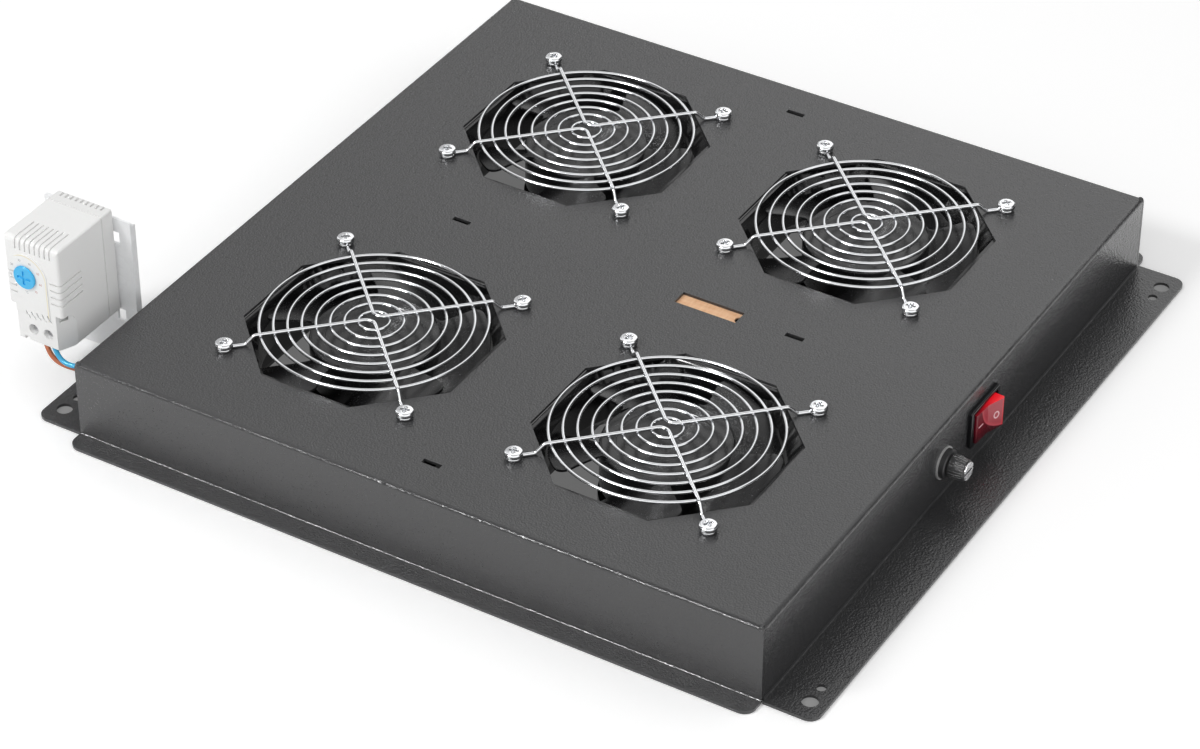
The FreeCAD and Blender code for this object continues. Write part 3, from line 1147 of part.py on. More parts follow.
def terminal_strip():
    """Three-pole strip hanging under the top plate, with lead entries on both sides."""
    half = STRIP_POLES * STRIP_PITCH / 2
    top = CEILING
    low = top - STRIP_H
    x0, x1 = STRIP_X - STRIP_W / 2, STRIP_X + STRIP_W / 2
    entry_z = BROWN_ROUTE[-1][2]
    pole = (STRIP_PITCH - STRIP_SLIT) / 2
    deep = STRIP_STEP + STRIP_ENTRY_DEPTH
    pieces = [rounded_box(x0, x1, STRIP_Y - half, STRIP_Y + half, top - STRIP_FOOT, top, STRIP_EDGE_R, "Z")]
    cuts = []
    for y in strip_rows():
        pieces.append(rounded_box(x0 + STRIP_STEP, x1 - STRIP_STEP, y - pole, y + pole, low, top - STRIP_FOOT,
                                  STRIP_EDGE_R, "Z"))
        for end, inner in ((x0, x0 + deep), (x1, x1 - deep)):
            cuts.append(rod(STRIP_ENTRY_R, (end, y, entry_z), (inner, y, entry_z)))
    return fused(pieces).cut(cuts)


def strip_screws():
    low = CEILING - STRIP_H
    screws = []
    for y in strip_rows():
        for side in (-1, 1):
            x = STRIP_X + side * (STRIP_W / 2 - STRIP_SCREW_IN)
            screws.append(rod(STRIP_SCREW_R, (x, y, low - STRIP_SCREW_OUT), (x, y, low)))
    return Part.makeCompound(screws)


def make_wiring():
    small, large = grommet(GROMMET_HOLE_R, GROMMET_BORE_R), grommet(MAINS_HOLE_R, MAINS_BORE_R)
    save("thermostat_grommet", along(small, Y * -1, (GROMMET_X, BACK, GROMMET_Z)))
    save("mains_grommet", along(large, Y * -1, (MAINS_X, BACK, MAINS_Z)))
    save("lead_brown", lead(BROWN_ROUTE))
    save("lead_blue", lead(BLUE_ROUTE))
    save("terminal_strip", terminal_strip())
    save("terminal_strip_screws", strip_screws())


def make_earth_stud():
    y = FRONT + EARTH_FROM_FRONT
    stud = rod(EARTH_R, (EARTH_X, y, CEILING - EARTH_L), (EARTH_X, y, CEILING))
    washer_top = CEILING - NUT_H
    washer_low = washer_top - EARTH_WASHER_T
    washer = tube(EARTH_WASHER_R, EARTH_R, (EARTH_X, y, washer_low), (EARTH_X, y, washer_top))
    nuts = []
    for z in (CEILING, washer_low):
        nut = polygon_prism(6, EARTH_NUT_FLATS, (EARTH_X, y, z - NUT_H), Z, NUT_H)
        nuts.append(nut.cut(stud))
    save("earth_stud", stud.fuse([washer] + nuts))


def main():
    os.makedirs("parts", exist_ok=True)
    make_tray()
    make_fans()
    make_switch()
    make_fuse_holder()
    make_thermostat()
    make_bracket()
    make_wiring()
    make_earth_stud()


main()
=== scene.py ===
import json
import math
import bmesh
import bpy
from mathutils import Matrix, Vector

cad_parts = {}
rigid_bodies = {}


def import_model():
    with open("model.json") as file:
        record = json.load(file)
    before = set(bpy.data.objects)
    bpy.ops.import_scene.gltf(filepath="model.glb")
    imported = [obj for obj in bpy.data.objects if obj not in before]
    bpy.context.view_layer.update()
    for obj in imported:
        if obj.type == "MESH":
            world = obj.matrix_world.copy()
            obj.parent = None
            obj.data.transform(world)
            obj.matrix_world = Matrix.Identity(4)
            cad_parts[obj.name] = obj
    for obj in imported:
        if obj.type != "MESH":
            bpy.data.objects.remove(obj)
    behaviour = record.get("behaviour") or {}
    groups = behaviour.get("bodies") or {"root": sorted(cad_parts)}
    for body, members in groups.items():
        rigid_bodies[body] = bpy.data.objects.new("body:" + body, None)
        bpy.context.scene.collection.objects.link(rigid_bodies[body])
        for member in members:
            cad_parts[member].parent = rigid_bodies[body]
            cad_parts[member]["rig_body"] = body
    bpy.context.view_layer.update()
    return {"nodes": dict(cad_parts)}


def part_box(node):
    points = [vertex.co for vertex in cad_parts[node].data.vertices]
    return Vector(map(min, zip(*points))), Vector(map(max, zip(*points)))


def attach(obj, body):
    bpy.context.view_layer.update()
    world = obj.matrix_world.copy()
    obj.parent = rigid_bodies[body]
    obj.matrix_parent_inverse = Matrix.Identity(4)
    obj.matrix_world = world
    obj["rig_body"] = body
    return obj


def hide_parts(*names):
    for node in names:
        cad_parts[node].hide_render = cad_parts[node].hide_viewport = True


# Looks of the rack fan tray: a powder-coated tray with four caged fans, a lit rocker switch, a fuse
# holder and a cabinet thermostat.  Metres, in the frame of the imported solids.

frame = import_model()
NODES = frame["nodes"]
PLACES = ("back_left", "back_right", "front_left", "front_right")
MM = 0.001

# ---- camera ----
CAMERA_AT = (-1.38411, -0.82410, 1.18481)
CAMERA_TOWARDS = (0.68573, 0.41541, -0.59767)
CAMERA_LENS = 118.98
CAMERA_SENSOR = 36.0

camera = bpy.data.objects.new("camera", bpy.data.cameras.new("camera"))
bpy.context.scene.collection.objects.link(camera)
camera.data.lens = CAMERA_LENS
camera.data.sensor_width = CAMERA_SENSOR
camera.data.clip_start = 0.05
camera.data.clip_end = 50.0
camera.location = CAMERA_AT
camera.rotation_mode = "QUATERNION"
camera.rotation_quaternion = Vector(CAMERA_TOWARDS).to_track_quat("-Z", "Y")
bpy.context.scene.camera = camera
bpy.context.scene.view_settings.view_transform = "Standard"

# ---- leads of the thermostat ----
LEAD_RADIUS = 1.3 * MM
LEAD_SIDES = 5              # bevel resolution of a lead
LEAD_STEPS = 16             # points per control point along it
BROWN_ROUTE = ((-0.1778, 0.2262, 0.0334), (-0.1788, 0.2244, 0.0256), (-0.1788, 0.2170, 0.0202),
               (-0.1758, 0.2054, 0.0192), (-0.1714, 0.1915, 0.0199), (-0.1672, 0.1790, 0.0230),
               (-0.1588, 0.1692, 0.0262), (-0.1476, 0.1636, 0.0288), (-0.1360, 0.1630, 0.0294))
BLUE_ROUTE = ((-0.1768, 0.2226, 0.0330), (-0.1782, 0.2196, 0.0256), (-0.1792, 0.2129, 0.0219),
              (-0.1774, 0.2042, 0.0228), (-0.1710, 0.1915, 0.0230), (-0.1650, 0.1826, 0.0248),
              (-0.1562, 0.1756, 0.0270), (-0.1464, 0.1716, 0.0290), (-0.1360, 0.1710, 0.0294))
BROWN_LENGTH = 0.095
BLUE_LENGTH = 0.0815


def lead(name, route, length):
    """A thin lead on one smooth line from the thermostat through its grommet to the terminal strip."""
    curve = bpy.data.curves.new(name, "CURVE")
    curve.dimensions = "3D"
    spline = curve.splines.new("NURBS")
    spline.points.add(len(route) - 1)
    for point, place in zip(spline.points, route):
        point.co = (*place, 1.0)
        point.radius = LEAD_RADIUS
    spline.order_u = 3
    spline.use_endpoint_u = True
    curve.resolution_u = LEAD_STEPS
    curve.bevel_depth = 1.0
    curve.bevel_resolution = LEAD_SIDES
    curve.use_fill_caps = True
    piece = bpy.data.objects.new(name, curve)
    bpy.context.scene.collection.objects.link(piece)
    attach(piece, "tray")
    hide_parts(name.replace("insulated_", ""))
    return piece


brown_lead = lead("insulated_lead_brown", BROWN_ROUTE, BROWN_LENGTH)
blue_lead = lead("insulated_lead_blue", BLUE_ROUTE, BLUE_LENGTH)


# ---- finishes ----
def tone(red, green, blue):
    """A colour as it shows, 0 to 255, turned into the linear one that a socket takes."""
    shown = [channel / 255 for channel in (red, green, blue)]
    linear = [c / 12.92 if c <= 0.04045 else ((c + 0.055) / 1.055) ** 2.4 for c in shown]
    return (*linear, 1.0)


class Value:
    """A number that varies over a surface.  Arithmetic on it adds Math nodes."""

    def __init__(self, finish, socket):
        self.finish = finish
        self.socket = socket

    def maths(self, operation, first, second):
        return self.finish.node("ShaderNodeMath", {"operation": operation}, {0: first, 1: second})

    def __add__(self, other):
        return self.maths("ADD", self, other)

    def __radd__(self, other):
        return self.maths("ADD", other, self)

    def __sub__(self, other):
        return self.maths("SUBTRACT", self, other)

    def __rsub__(self, other):
        return self.maths("SUBTRACT", other, self)

    def __mul__(self, other):
        return self.maths("MULTIPLY", self, other)

    def __rmul__(self, other):
        return self.maths("MULTIPLY", other, self)

    def __gt__(self, other):
        return self.maths("GREATER_THAN", self, other)

    def __lt__(self, other):
        return self.maths("LESS_THAN", self, other)


class Finish:
    """A procedural material, or a world.  Every node in it comes from node()."""

    def __init__(self, name, kind=bpy.data.materials):
        self.material = kind.new(name)
        self.material.use_nodes = True
        self.tree = self.material.node_tree
        self.tree.nodes.clear()

    def node(self, kind, settings=None, sockets=None, output=0):
        """Adds a node: settings first, then values or links of its sockets; gives one output."""
        made = self.tree.nodes.new(kind)
        for key, value in (settings or {}).items():
            if key == "stops":
                ramp = made.color_ramp
                while len(ramp.elements) < len(value):
                    ramp.elements.new(1.0)
                for element, (place, colour) in zip(ramp.elements, value):
                    element.position = place
                    element.color = colour
            else:
                setattr(made, key, value)
        for key, value in (sockets or {}).items():
            if isinstance(value, Value):
                self.tree.links.new(value.socket, made.inputs[key])
            else:
                made.inputs[key].default_value = value
        return Value(self, made.outputs[output]) if made.outputs else None

    def place(self, stretch=(1.0, 1.0, 1.0), turn=(0.0, 0.0, 0.0), middle=(0.0, 0.0, 0.0)):
        """Object coordinates about a middle, turned and stretched."""
        here = self.node("ShaderNodeTexCoord", None, None, "Object")
        moved = self.node("ShaderNodeVectorMath", {"operation": "SUBTRACT"}, {0: here, 1: middle})
        return self.node("ShaderNodeMapping", None, {"Vector": moved, "Rotation": turn, "Scale": stretch})

    def axes(self, vector):
        """The three numbers of a vector."""
        return [self.node("ShaderNodeSeparateXYZ", None, {0: vector}, axis) for axis in "XYZ"]

    def noise(self, scale, detail=2.0, rough=0.5, where=None):
        where = where or self.place()
        return self.node("ShaderNodeTexNoise", None,
                         {"Vector": where, "Scale": scale, "Detail": detail, "Roughness": rough})

    def cells(self, scale, feature="F1", output="Distance"):
        return self.node("ShaderNodeTexVoronoi", {"feature": feature},
                         {"Vector": self.place(), "Scale": scale}, output)

    def between(self, factor, low, high):
        """A number that runs from low to high as factor goes from 0 to 1, held at its ends."""
        return self.node("ShaderNodeMapRange", {"clamp": True},
                         {"Value": factor, "To Min": low, "To Max": high})

    def rise(self, value, start, end):
        """0 before start, 1 after end, smooth between."""
        return self.node("ShaderNodeMapRange", {"interpolation_type": "SMOOTHSTEP"},
                         {"Value": value, "From Min": start, "From Max": end})

    def mix(self, factor, first, second):
        """A colour between two."""
        return self.node("ShaderNodeMix", {"data_type": "RGBA"}, {0: factor, 6: first, 7: second}, 2)

    def bump(self, height, distance):
        """The normal of a height that varies from 0 to 1 over distance metres."""
        return self.node("ShaderNodeBump", None, {"Height": height, "Distance": distance})

    def surface(self, sockets):
        """The shader, with constants or varying values on its sockets."""
        shader = self.node("ShaderNodeBsdfPrincipled", None, sockets)
        self.node("ShaderNodeOutputMaterial", None, {"Surface": shader})
        return self


def speckled(colour, change):
    """A darker and a lighter neighbour of a colour."""
    dark = tuple(c * (1.0 - change) for c in colour[:3])
    light = tuple(min(1.0, c * (1.0 + change)) for c in colour[:3])
    return (*dark, 1.0), (*light, 1.0)


def powder_coat(name, colour, grain, depth, roughness):
    """Textured powder paint: a leathery skin of small soft cells, glossier on their tops."""
    finish = Finish(name)
    folds = finish.noise(grain, 1.0, 0.4)
    ripple = finish.noise(grain * 0.3, 1.0)
    cloud = finish.noise(9.0, 3.0)
    height = folds + ripple * 0.25
    dark, light = speckled(colour, 0.16)
    return finish.surface({
        "Base Color": finish.mix(folds * 0.6 + cloud * 0.4, dark, light),
        "Roughness": finish.between(folds * 0.5 + cloud * 0.5, roughness - 0.05, roughness + 0.05),
        "Normal": finish.bump(height, depth)})


def moulded(name, colour, roughness, grain=900.0, depth=0.02 * MM, change=0.05):
    """Moulded plastic: an even colour with faint clouds, a fine spark-eroded grain."""
    finish = Finish(name)
    dark, light = speckled(colour, change)
    cloud = finish.noise(60.0, 3.0)
    skin = finish.noise(grain, 2.0, 0.6)
    return finish.surface({
        "Base Color": finish.mix(cloud * 0.7 + skin * 0.3, dark, light),
        "Roughness": finish.between(skin * 0.6 + cloud * 0.4, roughness - 0.06, roughness + 0.06),
        "Normal": finish.bump(skin, depth)})


def metal(name, colour, roughness, grain=1500.0, depth=0.004 * MM, change=0.06):
    """Plated or bare metal: slightly uneven colour and polish, with fine marks."""
    finish = Finish(name)
    dark, light = speckled(colour, change)
    cloud = finish.noise(120.0, 3.0)
    marks = finish.noise(grain, 3.0, 0.6)
    return finish.surface({
        "Base Color": finish.mix(cloud * 0.5 + marks * 0.5, dark, light),
        "Metallic": 1.0,
        "Roughness": finish.between(marks * 0.5 + cloud * 0.5, roughness * 0.7, roughness * 1.3),
        "Normal": finish.bump(marks, depth)})


def brushed_ring():
    """Dull plated ring, pale and slightly rough."""
    finish = Finish("fuse_ring_metal")
    marks = finish.noise(900.0, 3.0, 0.6)
    return finish.surface({
        "Base Color": finish.mix(marks, tone(168, 168, 168), tone(204, 204, 204)),
        "Metallic": 0.35,
        "Roughness": finish.between(marks, 0.35, 0.5),
        "Normal": finish.bump(marks, 0.01 * MM)})


def insulating_card():
    """Pressed fibre card with short crossing fibres."""
    finish = Finish("card")
    long_way = finish.noise(500.0, 3.0, 0.6, finish.place((1.0, 0.18, 1.0)))
    short_way = finish.noise(520.0, 3.0, 0.6, finish.place((0.18, 1.0, 1.0), (0.0, 0.0, 0.4)))
    fibre = long_way * 0.5 + short_way * 0.5
    return finish.surface({
        "Base Color": finish.mix(finish.between(fibre * 2.4 - 0.7, 0.0, 1.0),
                                 tone(222, 166, 122), tone(250, 210, 172)),
        "Roughness": finish.between(fibre, 0.75, 0.9),
        "Normal": finish.bump(fibre, 0.06 * MM)})


def galvanised(name):
    """Zinc-coated sheet with a faint spangle."""
    finish = Finish(name)
    spangle = finish.cells(240.0, "F1", "Color")
    fine = finish.noise(900.0, 2.0)
    level = finish.node("ShaderNodeSeparateColor", None, {0: spangle}, 0)
    return finish.surface({
        "Base Color": finish.mix(level * 0.7 + fine * 0.3, tone(244, 245, 246), tone(252, 253, 254)),
        "Metallic": 0.0,
        "Roughness": finish.between(level, 0.42, 0.5),
        "Normal": finish.bump(fine, 0.006 * MM)})


def laminated_iron():
    """Punched iron sheets, stacked, with varnished copper between them."""
    finish = Finish("stator_iron")
    height = finish.axes(finish.place())[2]
    layers = finish.node("ShaderNodeMath", {"operation": "PINGPONG"}, {0: height, 1: 0.25 * MM})
    line = finish.rise(layers, 0.02 * MM, 0.1 * MM)
    rust = finish.noise(300.0, 3.0)
    return finish.surface({
        "Base Color": finish.mix(line * 0.7 + rust * 0.3, tone(52, 44, 40), tone(120, 116, 112)),
        "Metallic": 0.8,
        "Roughness": finish.between(rust, 0.4, 0.6),
        "Normal": finish.bump(line, 0.05 * MM)})


def fuse_glass():
    """The fuse link's glass tube and plated end caps, told apart by their place along it."""
    finish = Finish("fuse_glass")
    low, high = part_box("fuse_link")
    along = finish.axes(finish.place())[1]
    cap = (along < low.y + 5.0 * MM) + (along > high.y - 5.0 * MM)
    haze = finish.noise(400.0, 2.0)
    return finish.surface({
        "Base Color": finish.mix(cap, tone(206, 214, 210), tone(200, 200, 196)),
        "Metallic": cap,
        "Roughness": finish.between(haze, 0.06, 0.2),
        "Coat Weight": 0.6})


ROCKER_TILT = math.radians(12.0)
ROCKER_PIVOT = Vector((16.9, -189.0, 22.6)) * MM
PAINTED_REFLECTION_MIDDLE = (12.0 * MM, 10.2 * MM)    # painted reflection: a pale round field on the O half
PAINTED_REFLECTION_RADIUS = 18.2 * MM
PAINTED_REFLECTION_EDGE = 0.5 * MM
PAINTED_REFLECTION_RIM = 2.5 * MM
END_BAND = (8.9 * MM, 9.8 * MM)         # lit strip at the O end
ROCKER_TOP = 8.1 * MM
LAMP_REACH = (-9.0 * MM, 7.0 * MM)      # where the lamp's light fades in along the crown
LOW_EDGE = (-8.0 * MM, 1.0 * MM)        # the wine red is deeper below


def rocker_plastic():
    """Clear red rocker with a lamp behind its O half: a painted reflection as a pale round field on the O
    half, wine red elsewhere.
    """
    finish = Finish("rocker_red")
    level = finish.place((1.0, 1.0, 1.0), (0.0, 0.0, ROCKER_TILT), tuple(ROCKER_PIVOT))
    x, y, z = finish.axes(level)
    apart = finish.node("ShaderNodeCombineXYZ", None, {0: x - PAINTED_REFLECTION_MIDDLE[0], 1: z - PAINTED_REFLECTION_MIDDLE[1]})
    away = finish.node("ShaderNodeVectorMath", {"operation": "LENGTH"}, {0: apart}, 1)
    # painted reflection: a pale round field, brighter at its rim, stands for a soft light mirrored in the
    # O half
    field = 1.0 - finish.rise(away, PAINTED_REFLECTION_RADIUS - PAINTED_REFLECTION_EDGE, PAINTED_REFLECTION_RADIUS + PAINTED_REFLECTION_EDGE * 0.4)
    rim = field * finish.rise(away, PAINTED_REFLECTION_RADIUS - PAINTED_REFLECTION_RIM, PAINTED_REFLECTION_RADIUS)
    band = finish.rise(x, *END_BAND)
    crown = finish.rise(z, ROCKER_TOP, ROCKER_TOP + 0.1 * MM)
    near_lamp = finish.rise(x, *LAMP_REACH)
    low_edge = finish.rise(z, *LOW_EDGE)
    prisms = finish.noise(1300.0, 1.0)
    cloud = finish.noise(140.0, 2.0)
    wine = finish.mix(low_edge * 0.8 + cloud * 0.2, tone(58, 0, 14), tone(112, 4, 26))
    # the colours of the painted reflection
    pale = finish.mix(rim * 0.8 + prisms * 0.2, tone(168, 50, 62), tone(204, 84, 94))
    face = finish.mix(field, wine, pale)
    face = finish.mix(band * field, face, tone(206, 52, 62))
    colour = finish.mix(crown, face, finish.mix(near_lamp, tone(150, 14, 30), tone(250, 24, 40)))
    glow = finish.mix(crown, finish.mix(band * field, tone(0, 0, 0), tone(90, 8, 12)),
                      finish.mix(near_lamp, tone(60, 0, 6), tone(220, 16, 28)))
    return finish.surface({
        "Base Color": colour,
        "Roughness": finish.between(cloud, 0.2, 0.3),
        "Emission Color": glow,
        "Emission Strength": 0.3,
        "Specular IOR Level": 0.4})


def mark_ink():
    """Printed pinkish white of the rocker's two marks."""
    finish = Finish("mark_ink")
    grain = finish.noise(1500.0, 2.0)
    return finish.surface({
        "Base Color": finish.mix(grain, tone(232, 176, 184), tone(250, 214, 218)),
        "Roughness": finish.between(grain, 0.4, 0.5)})


def number_ink(name, colour):
    """Thin grey print of the dial's numbers."""
    finish = Finish(name)
    grain = finish.noise(2500.0, 2.0)
    dark, light = speckled(colour, 0.1)
    return finish.surface({
        "Base Color": finish.mix(grain, dark, light),
        "Roughness": finish.between(grain, 0.45, 0.55)})


DIAL_MIDDLE = (-180.5 * MM, 232.2 * MM, 68.7 * MM)      # on the raised arch
ARCH_RADIUS = 12.8 * MM
ARCH_LINE = (0.25 * MM, 0.85 * MM)      # cream line inside the arch's edge
ARCH_LINE_SOFT = 0.1 * MM
ARCH_PROUD = 0.05 * MM
ARCH_FOOT = 46.1 * MM
SHELL_TONE = tone(241, 241, 240)


def thermostat_shell():
    """Pale moulded shell with a cream line printed along its raised arch."""
    finish = Finish("thermo_shell")
    x, y, z = finish.axes(finish.place((1.0, 1.0, 1.0), (0.0, 0.0, 0.0), DIAL_MIDDLE))
    above = finish.node("ShaderNodeMath", {"operation": "MAXIMUM"}, {0: z, 1: 0.0})
    apart = finish.node("ShaderNodeCombineXYZ", None, {0: y, 1: above})
    away = finish.node("ShaderNodeVectorMath", {"operation": "LENGTH"}, {0: apart}, 1)
    inward = ARCH_RADIUS - away
    start, end = [finish.rise(inward, edge - ARCH_LINE_SOFT, edge + ARCH_LINE_SOFT) for edge in ARCH_LINE]
    line = start * (1.0 - end) * (x < ARCH_PROUD) * (z > ARCH_FOOT - DIAL_MIDDLE[2])
    cloud = finish.noise(60.0, 3.0)
    skin = finish.noise(1200.0, 2.0, 0.6)
    dark, light = speckled(SHELL_TONE, 0.015)
    shell = finish.mix(cloud * 0.7 + skin * 0.3, dark, light)
    return finish.surface({
        "Base Color": finish.mix(line, shell, tone(236, 228, 200)),
        "Roughness": finish.between(skin * 0.6 + cloud * 0.4, 0.44, 0.56),
        "Normal": finish.bump(skin, 0.03 * MM)})


FINISHES = {
    "powder_coat": powder_coat("powder_coat", tone(56, 56, 57), grain=1050.0, depth=0.27 * MM,
                               roughness=0.24),
    "fan_alloy": powder_coat("fan_alloy", tone(22, 22, 23), grain=1100.0, depth=0.03 * MM,
                             roughness=0.26),
    "fan_plastic": moulded("fan_plastic", tone(26, 26, 27), 0.26),
    "rotor_steel": metal("rotor_steel", tone(120, 120, 122), 0.4),
    "shaft_steel": metal("shaft_steel", tone(190, 190, 192), 0.2),
    "bearing_steel": metal("bearing_steel", tone(180, 180, 184), 0.22),
    "stator_iron": laminated_iron(),
    "guard_chrome": metal("guard_chrome", tone(212, 213, 215), 0.1),
    "screw_zinc": metal("screw_zinc", tone(218, 219, 221), 0.12),
    "nut_zinc": metal("nut_zinc", tone(214, 215, 218), 0.28),
    "card": insulating_card(),
    "switch_black": moulded("switch_black", tone(22, 22, 24), 0.2),
    "rocker_red": rocker_plastic(),
    "tab_brass": metal("tab_brass", tone(206, 178, 112), 0.3),
    "fuse_black": moulded("fuse_black", tone(52, 52, 53), 0.32, grain=2600.0, depth=0.05 * MM, change=0.2),
    "fuse_ring_metal": brushed_ring(),
    "fuse_glass": fuse_glass(),
    "thermo_shell": thermostat_shell(),
    "thermo_base": moulded("thermo_base", tone(236, 236, 235), 0.52, grain=1200.0, depth=0.03 * MM,
                           change=0.015),
    "dial_blue": moulded("dial_blue", tone(62, 184, 238), 0.4, change=0.04),
    "terminal_zinc": metal("terminal_zinc", tone(196, 196, 200), 0.3),
    "bimetal": metal("bimetal", tone(196, 172, 130), 0.3),
    "galvanised": galvanised("galvanised"),
    "grommet_rubber": moulded("grommet_rubber", tone(34, 34, 34), 0.62),
    "brown_lead": moulded("brown_lead", tone(186, 104, 66), 0.4),
    "blue_lead": moulded("blue_lead", tone(62, 176, 222), 0.4),
    "strip_plastic": moulded("strip_plastic", tone(222, 220, 212), 0.45),
    "earth_brass": metal("earth_brass", tone(208, 180, 110), 0.3),
}


def coated(piece, slot):
    """Gives a new piece the finish of a slot."""
    piece.data.materials.clear()
    piece.data.materials.append(FINISHES[slot].material)
    return piece


for node in NODES.values():
    for place in node.material_slots:
        place.material = FINISHES[place.material.name.split(".")[0]].material
coated(brown_lead, "brown_lead")
coated(blue_lead, "blue_lead")

# ---- dressed copies of the solids ----
MERGE = 0.002 * MM          # vertices nearer than this are one
FLAT = math.radians(0.6)    # faces that turn less than this are one flat face
CREASE = math.radians(32)   # edges sharper than this stay crisp


def piece_of(shape, name, body, slot):
    """Ends a bmesh as a finished object that rides on a body."""
    mesh = bpy.data.meshes.new(name)
    shape.to_mesh(mesh)
    shape.free()
    mesh.shade_smooth()
    mesh.set_sharp_from_angle(angle=CREASE)
    piece = bpy.data.objects.new(name, mesh)
    bpy.context.scene.collection.objects.link(piece)
    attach(piece, body)
    even = piece.modifiers.new("even_normals", "WEIGHTED_NORMAL")
    even.keep_sharp = True
    return coated(piece, slot)


def merged(nodes, flat=FLAT):
    """One bmesh of several solids' surfaces, with their loose triangles joined."""
    shape = bmesh.new()
    for node in nodes:
        shape.from_mesh(NODES[node].data)
    bmesh.ops.remove_doubles(shape, verts=shape.verts, dist=MERGE)
    if flat:
        bmesh.ops.dissolve_limit(shape, angle_limit=flat, verts=shape.verts, edges=shape.edges)
    return shape


def lathe(shape, profile, steps, middle=(0.0, 0.0, 0.0), axis=(0.0, 0.0, 1.0)):
    """Spins (radius, height) points a full turn about an axis through middle; gives the new vertices."""
    turn = Vector((0.0, 0.0, 1.0)).rotation_difference(Vector(axis)).to_matrix()
    corners = [shape.verts.new(turn @ Vector((radius, 0.0, height)) + Vector(middle))
               for radius, height in profile]
    line = [shape.edges.new(pair) for pair in zip(corners, corners[1:])]
    before = set(shape.verts) - set(corners)
    bmesh.ops.spin(shape, geom=corners + line, cent=middle, axis=axis, angle=math.tau, steps=steps,
                   use_merge=True)
    new = [vertex for vertex in shape.verts if vertex not in before]
    bmesh.ops.remove_doubles(shape, verts=new, dist=MERGE)
    new = [vertex for vertex in shape.verts if vertex not in before]
    bmesh.ops.recalc_face_normals(shape, faces=list({f for v in new for f in v.link_faces}))
    return new


def soften(shape, edge, segments=2, steep=CREASE, among=None):
    """Bevels every edge that is sharper than an angle."""
    edges = among if among is not None else shape.edges
    sharp = [e for e in edges if len(e.link_faces) == 2 and e.calc_face_angle() > steep]
    return bmesh.ops.bevel(shape, geom=sharp, offset=edge, offset_type="OFFSET", segments=segments,
                           profile=0.5, affect="EDGES", clamp_overlap=True, material=-1)


def dressed(name, slot, nodes, edge=0.0, segments=2):
    """A joined, smooth copy of the solids with softened edges, shown in their place."""
    shape = merged(nodes)
    if edge:
        soften(shape, edge, segments)
    body = NODES[nodes[0]]["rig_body"]
    piece = piece_of(shape, name, body, slot)
    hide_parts(*nodes)
    return piece


# ---- tray ----
WALL_TOP = 41.5 * MM        # where the walls' solids meet the top's
CUT_EDGE = 0.2 * MM         # paint drawn round the cut edges
STEEP = math.radians(65)
TRAY_NODES = ("tray_top", "tray_front_wall", "tray_back_wall", "tray_left_wall", "tray_right_wall")


def folded_tray():
    """The tray as one folded sheet: the faces where its solids meet are taken out."""
    shape = merged(TRAY_NODES, 0.0)
    inner = [f for f in shape.faces if all(abs(v.co.z - WALL_TOP) < MERGE for v in f.verts)]
    bmesh.ops.delete(shape, geom=inner, context="FACES")
    bmesh.ops.dissolve_limit(shape, angle_limit=FLAT, verts=shape.verts, edges=shape.edges)
    soften(shape, CUT_EDGE, 2, STEEP)
    tray = piece_of(shape, "folded_tray", "tray", "powder_coat")
    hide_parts(*TRAY_NODES)
    return tray


TRAY_HALF = (199.0 * MM, 191.0 * MM)
BEAD_RADIUS = 1.9 * MM
BEAD_INSET = 1.55 * MM      # from a top corner's three faces
BEAD_FLAT = 0.92


def corner_beads():
    """The ground weld beads that close the tray's four top corners."""
    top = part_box("tray_top")[1].z
    half = (TRAY_HALF[0] - BEAD_INSET, TRAY_HALF[1] - BEAD_INSET)
    beads = bmesh.new()
    for side in (-1.0, 1.0):
        for end in (-1.0, 1.0):
            made = bmesh.ops.create_icosphere(beads, subdivisions=3, radius=BEAD_RADIUS)
            bmesh.ops.scale(beads, verts=made["verts"], vec=(1.0, BEAD_FLAT, 1.0))
            bmesh.ops.translate(beads, verts=made["verts"],
                                vec=(side * half[0], end * half[1], top - BEAD_INSET))
    piece_of(beads, "corner_weld_beads", "tray", "powder_coat")


folded_tray()
corner_beads()

# ---- fans ----
FAN_BOTTOM = 4.5 * MM
HUB_RADIUS = 32.3 * MM
HUB_INSIDE = 30.0 * MM
HUB_SKIRT = 12.8 * MM
HUB_SHELF = 33.8 * MM       # underside of the hub's face
HUB_FACE = 35.8 * MM
HUB_ROUND = 1.6 * MM
HUB_SHOULDER = ((0.0, 1.0), (0.13, 0.5), (0.5, 0.13), (1.0, 0.0))   # shares of it, inwards and down
LABEL_RADIUS = 24.0 * MM    # shallow seat in the hub's face
LABEL_DEPTH = 0.25 * MM
HUB_STEPS = 72
BLADE_ROOT = 31.4 * MM
BLADE_TIP = 56.5 * MM
BLADE_TOP = 34.6 * MM       # leading edge
BLADE_RISE = 21.0 * MM
BLADE_BOW = 3.2 * MM
BLADE_THICK = 1.5 * MM
BLADE_RIM = 0.45 * MM
BLADE_SPAN = math.radians(60.0)
BLADE_SWEEP = math.radians(7.5)     # how far the root lags behind the tip
BLADE_COUNT = 5
TIP_ROUND = 7.0 * MM
TAIL_ROUND = 4.0 * MM
ROOT_FILLET = 4.0 * MM
BLADE_ACROSS = 26           # faces along the chord
BLADE_OUT = 22              # faces from root to tip
BLADE_CROWD = 1.35          # draws the faces towards the rounded tip
BLADE_STEEP = math.radians(60)
ROTOR_TURNS = {"back_left": 8.0, "back_right": 50.5, "front_left": 46.0, "front_right": -1.5}


def corner_pull(depth, radius):
    """How far a rounded corner draws an edge in, at a depth into the corner."""
    reach = min(max(depth, 0.0), radius)
    return radius - math.sqrt(radius * radius - reach * reach)


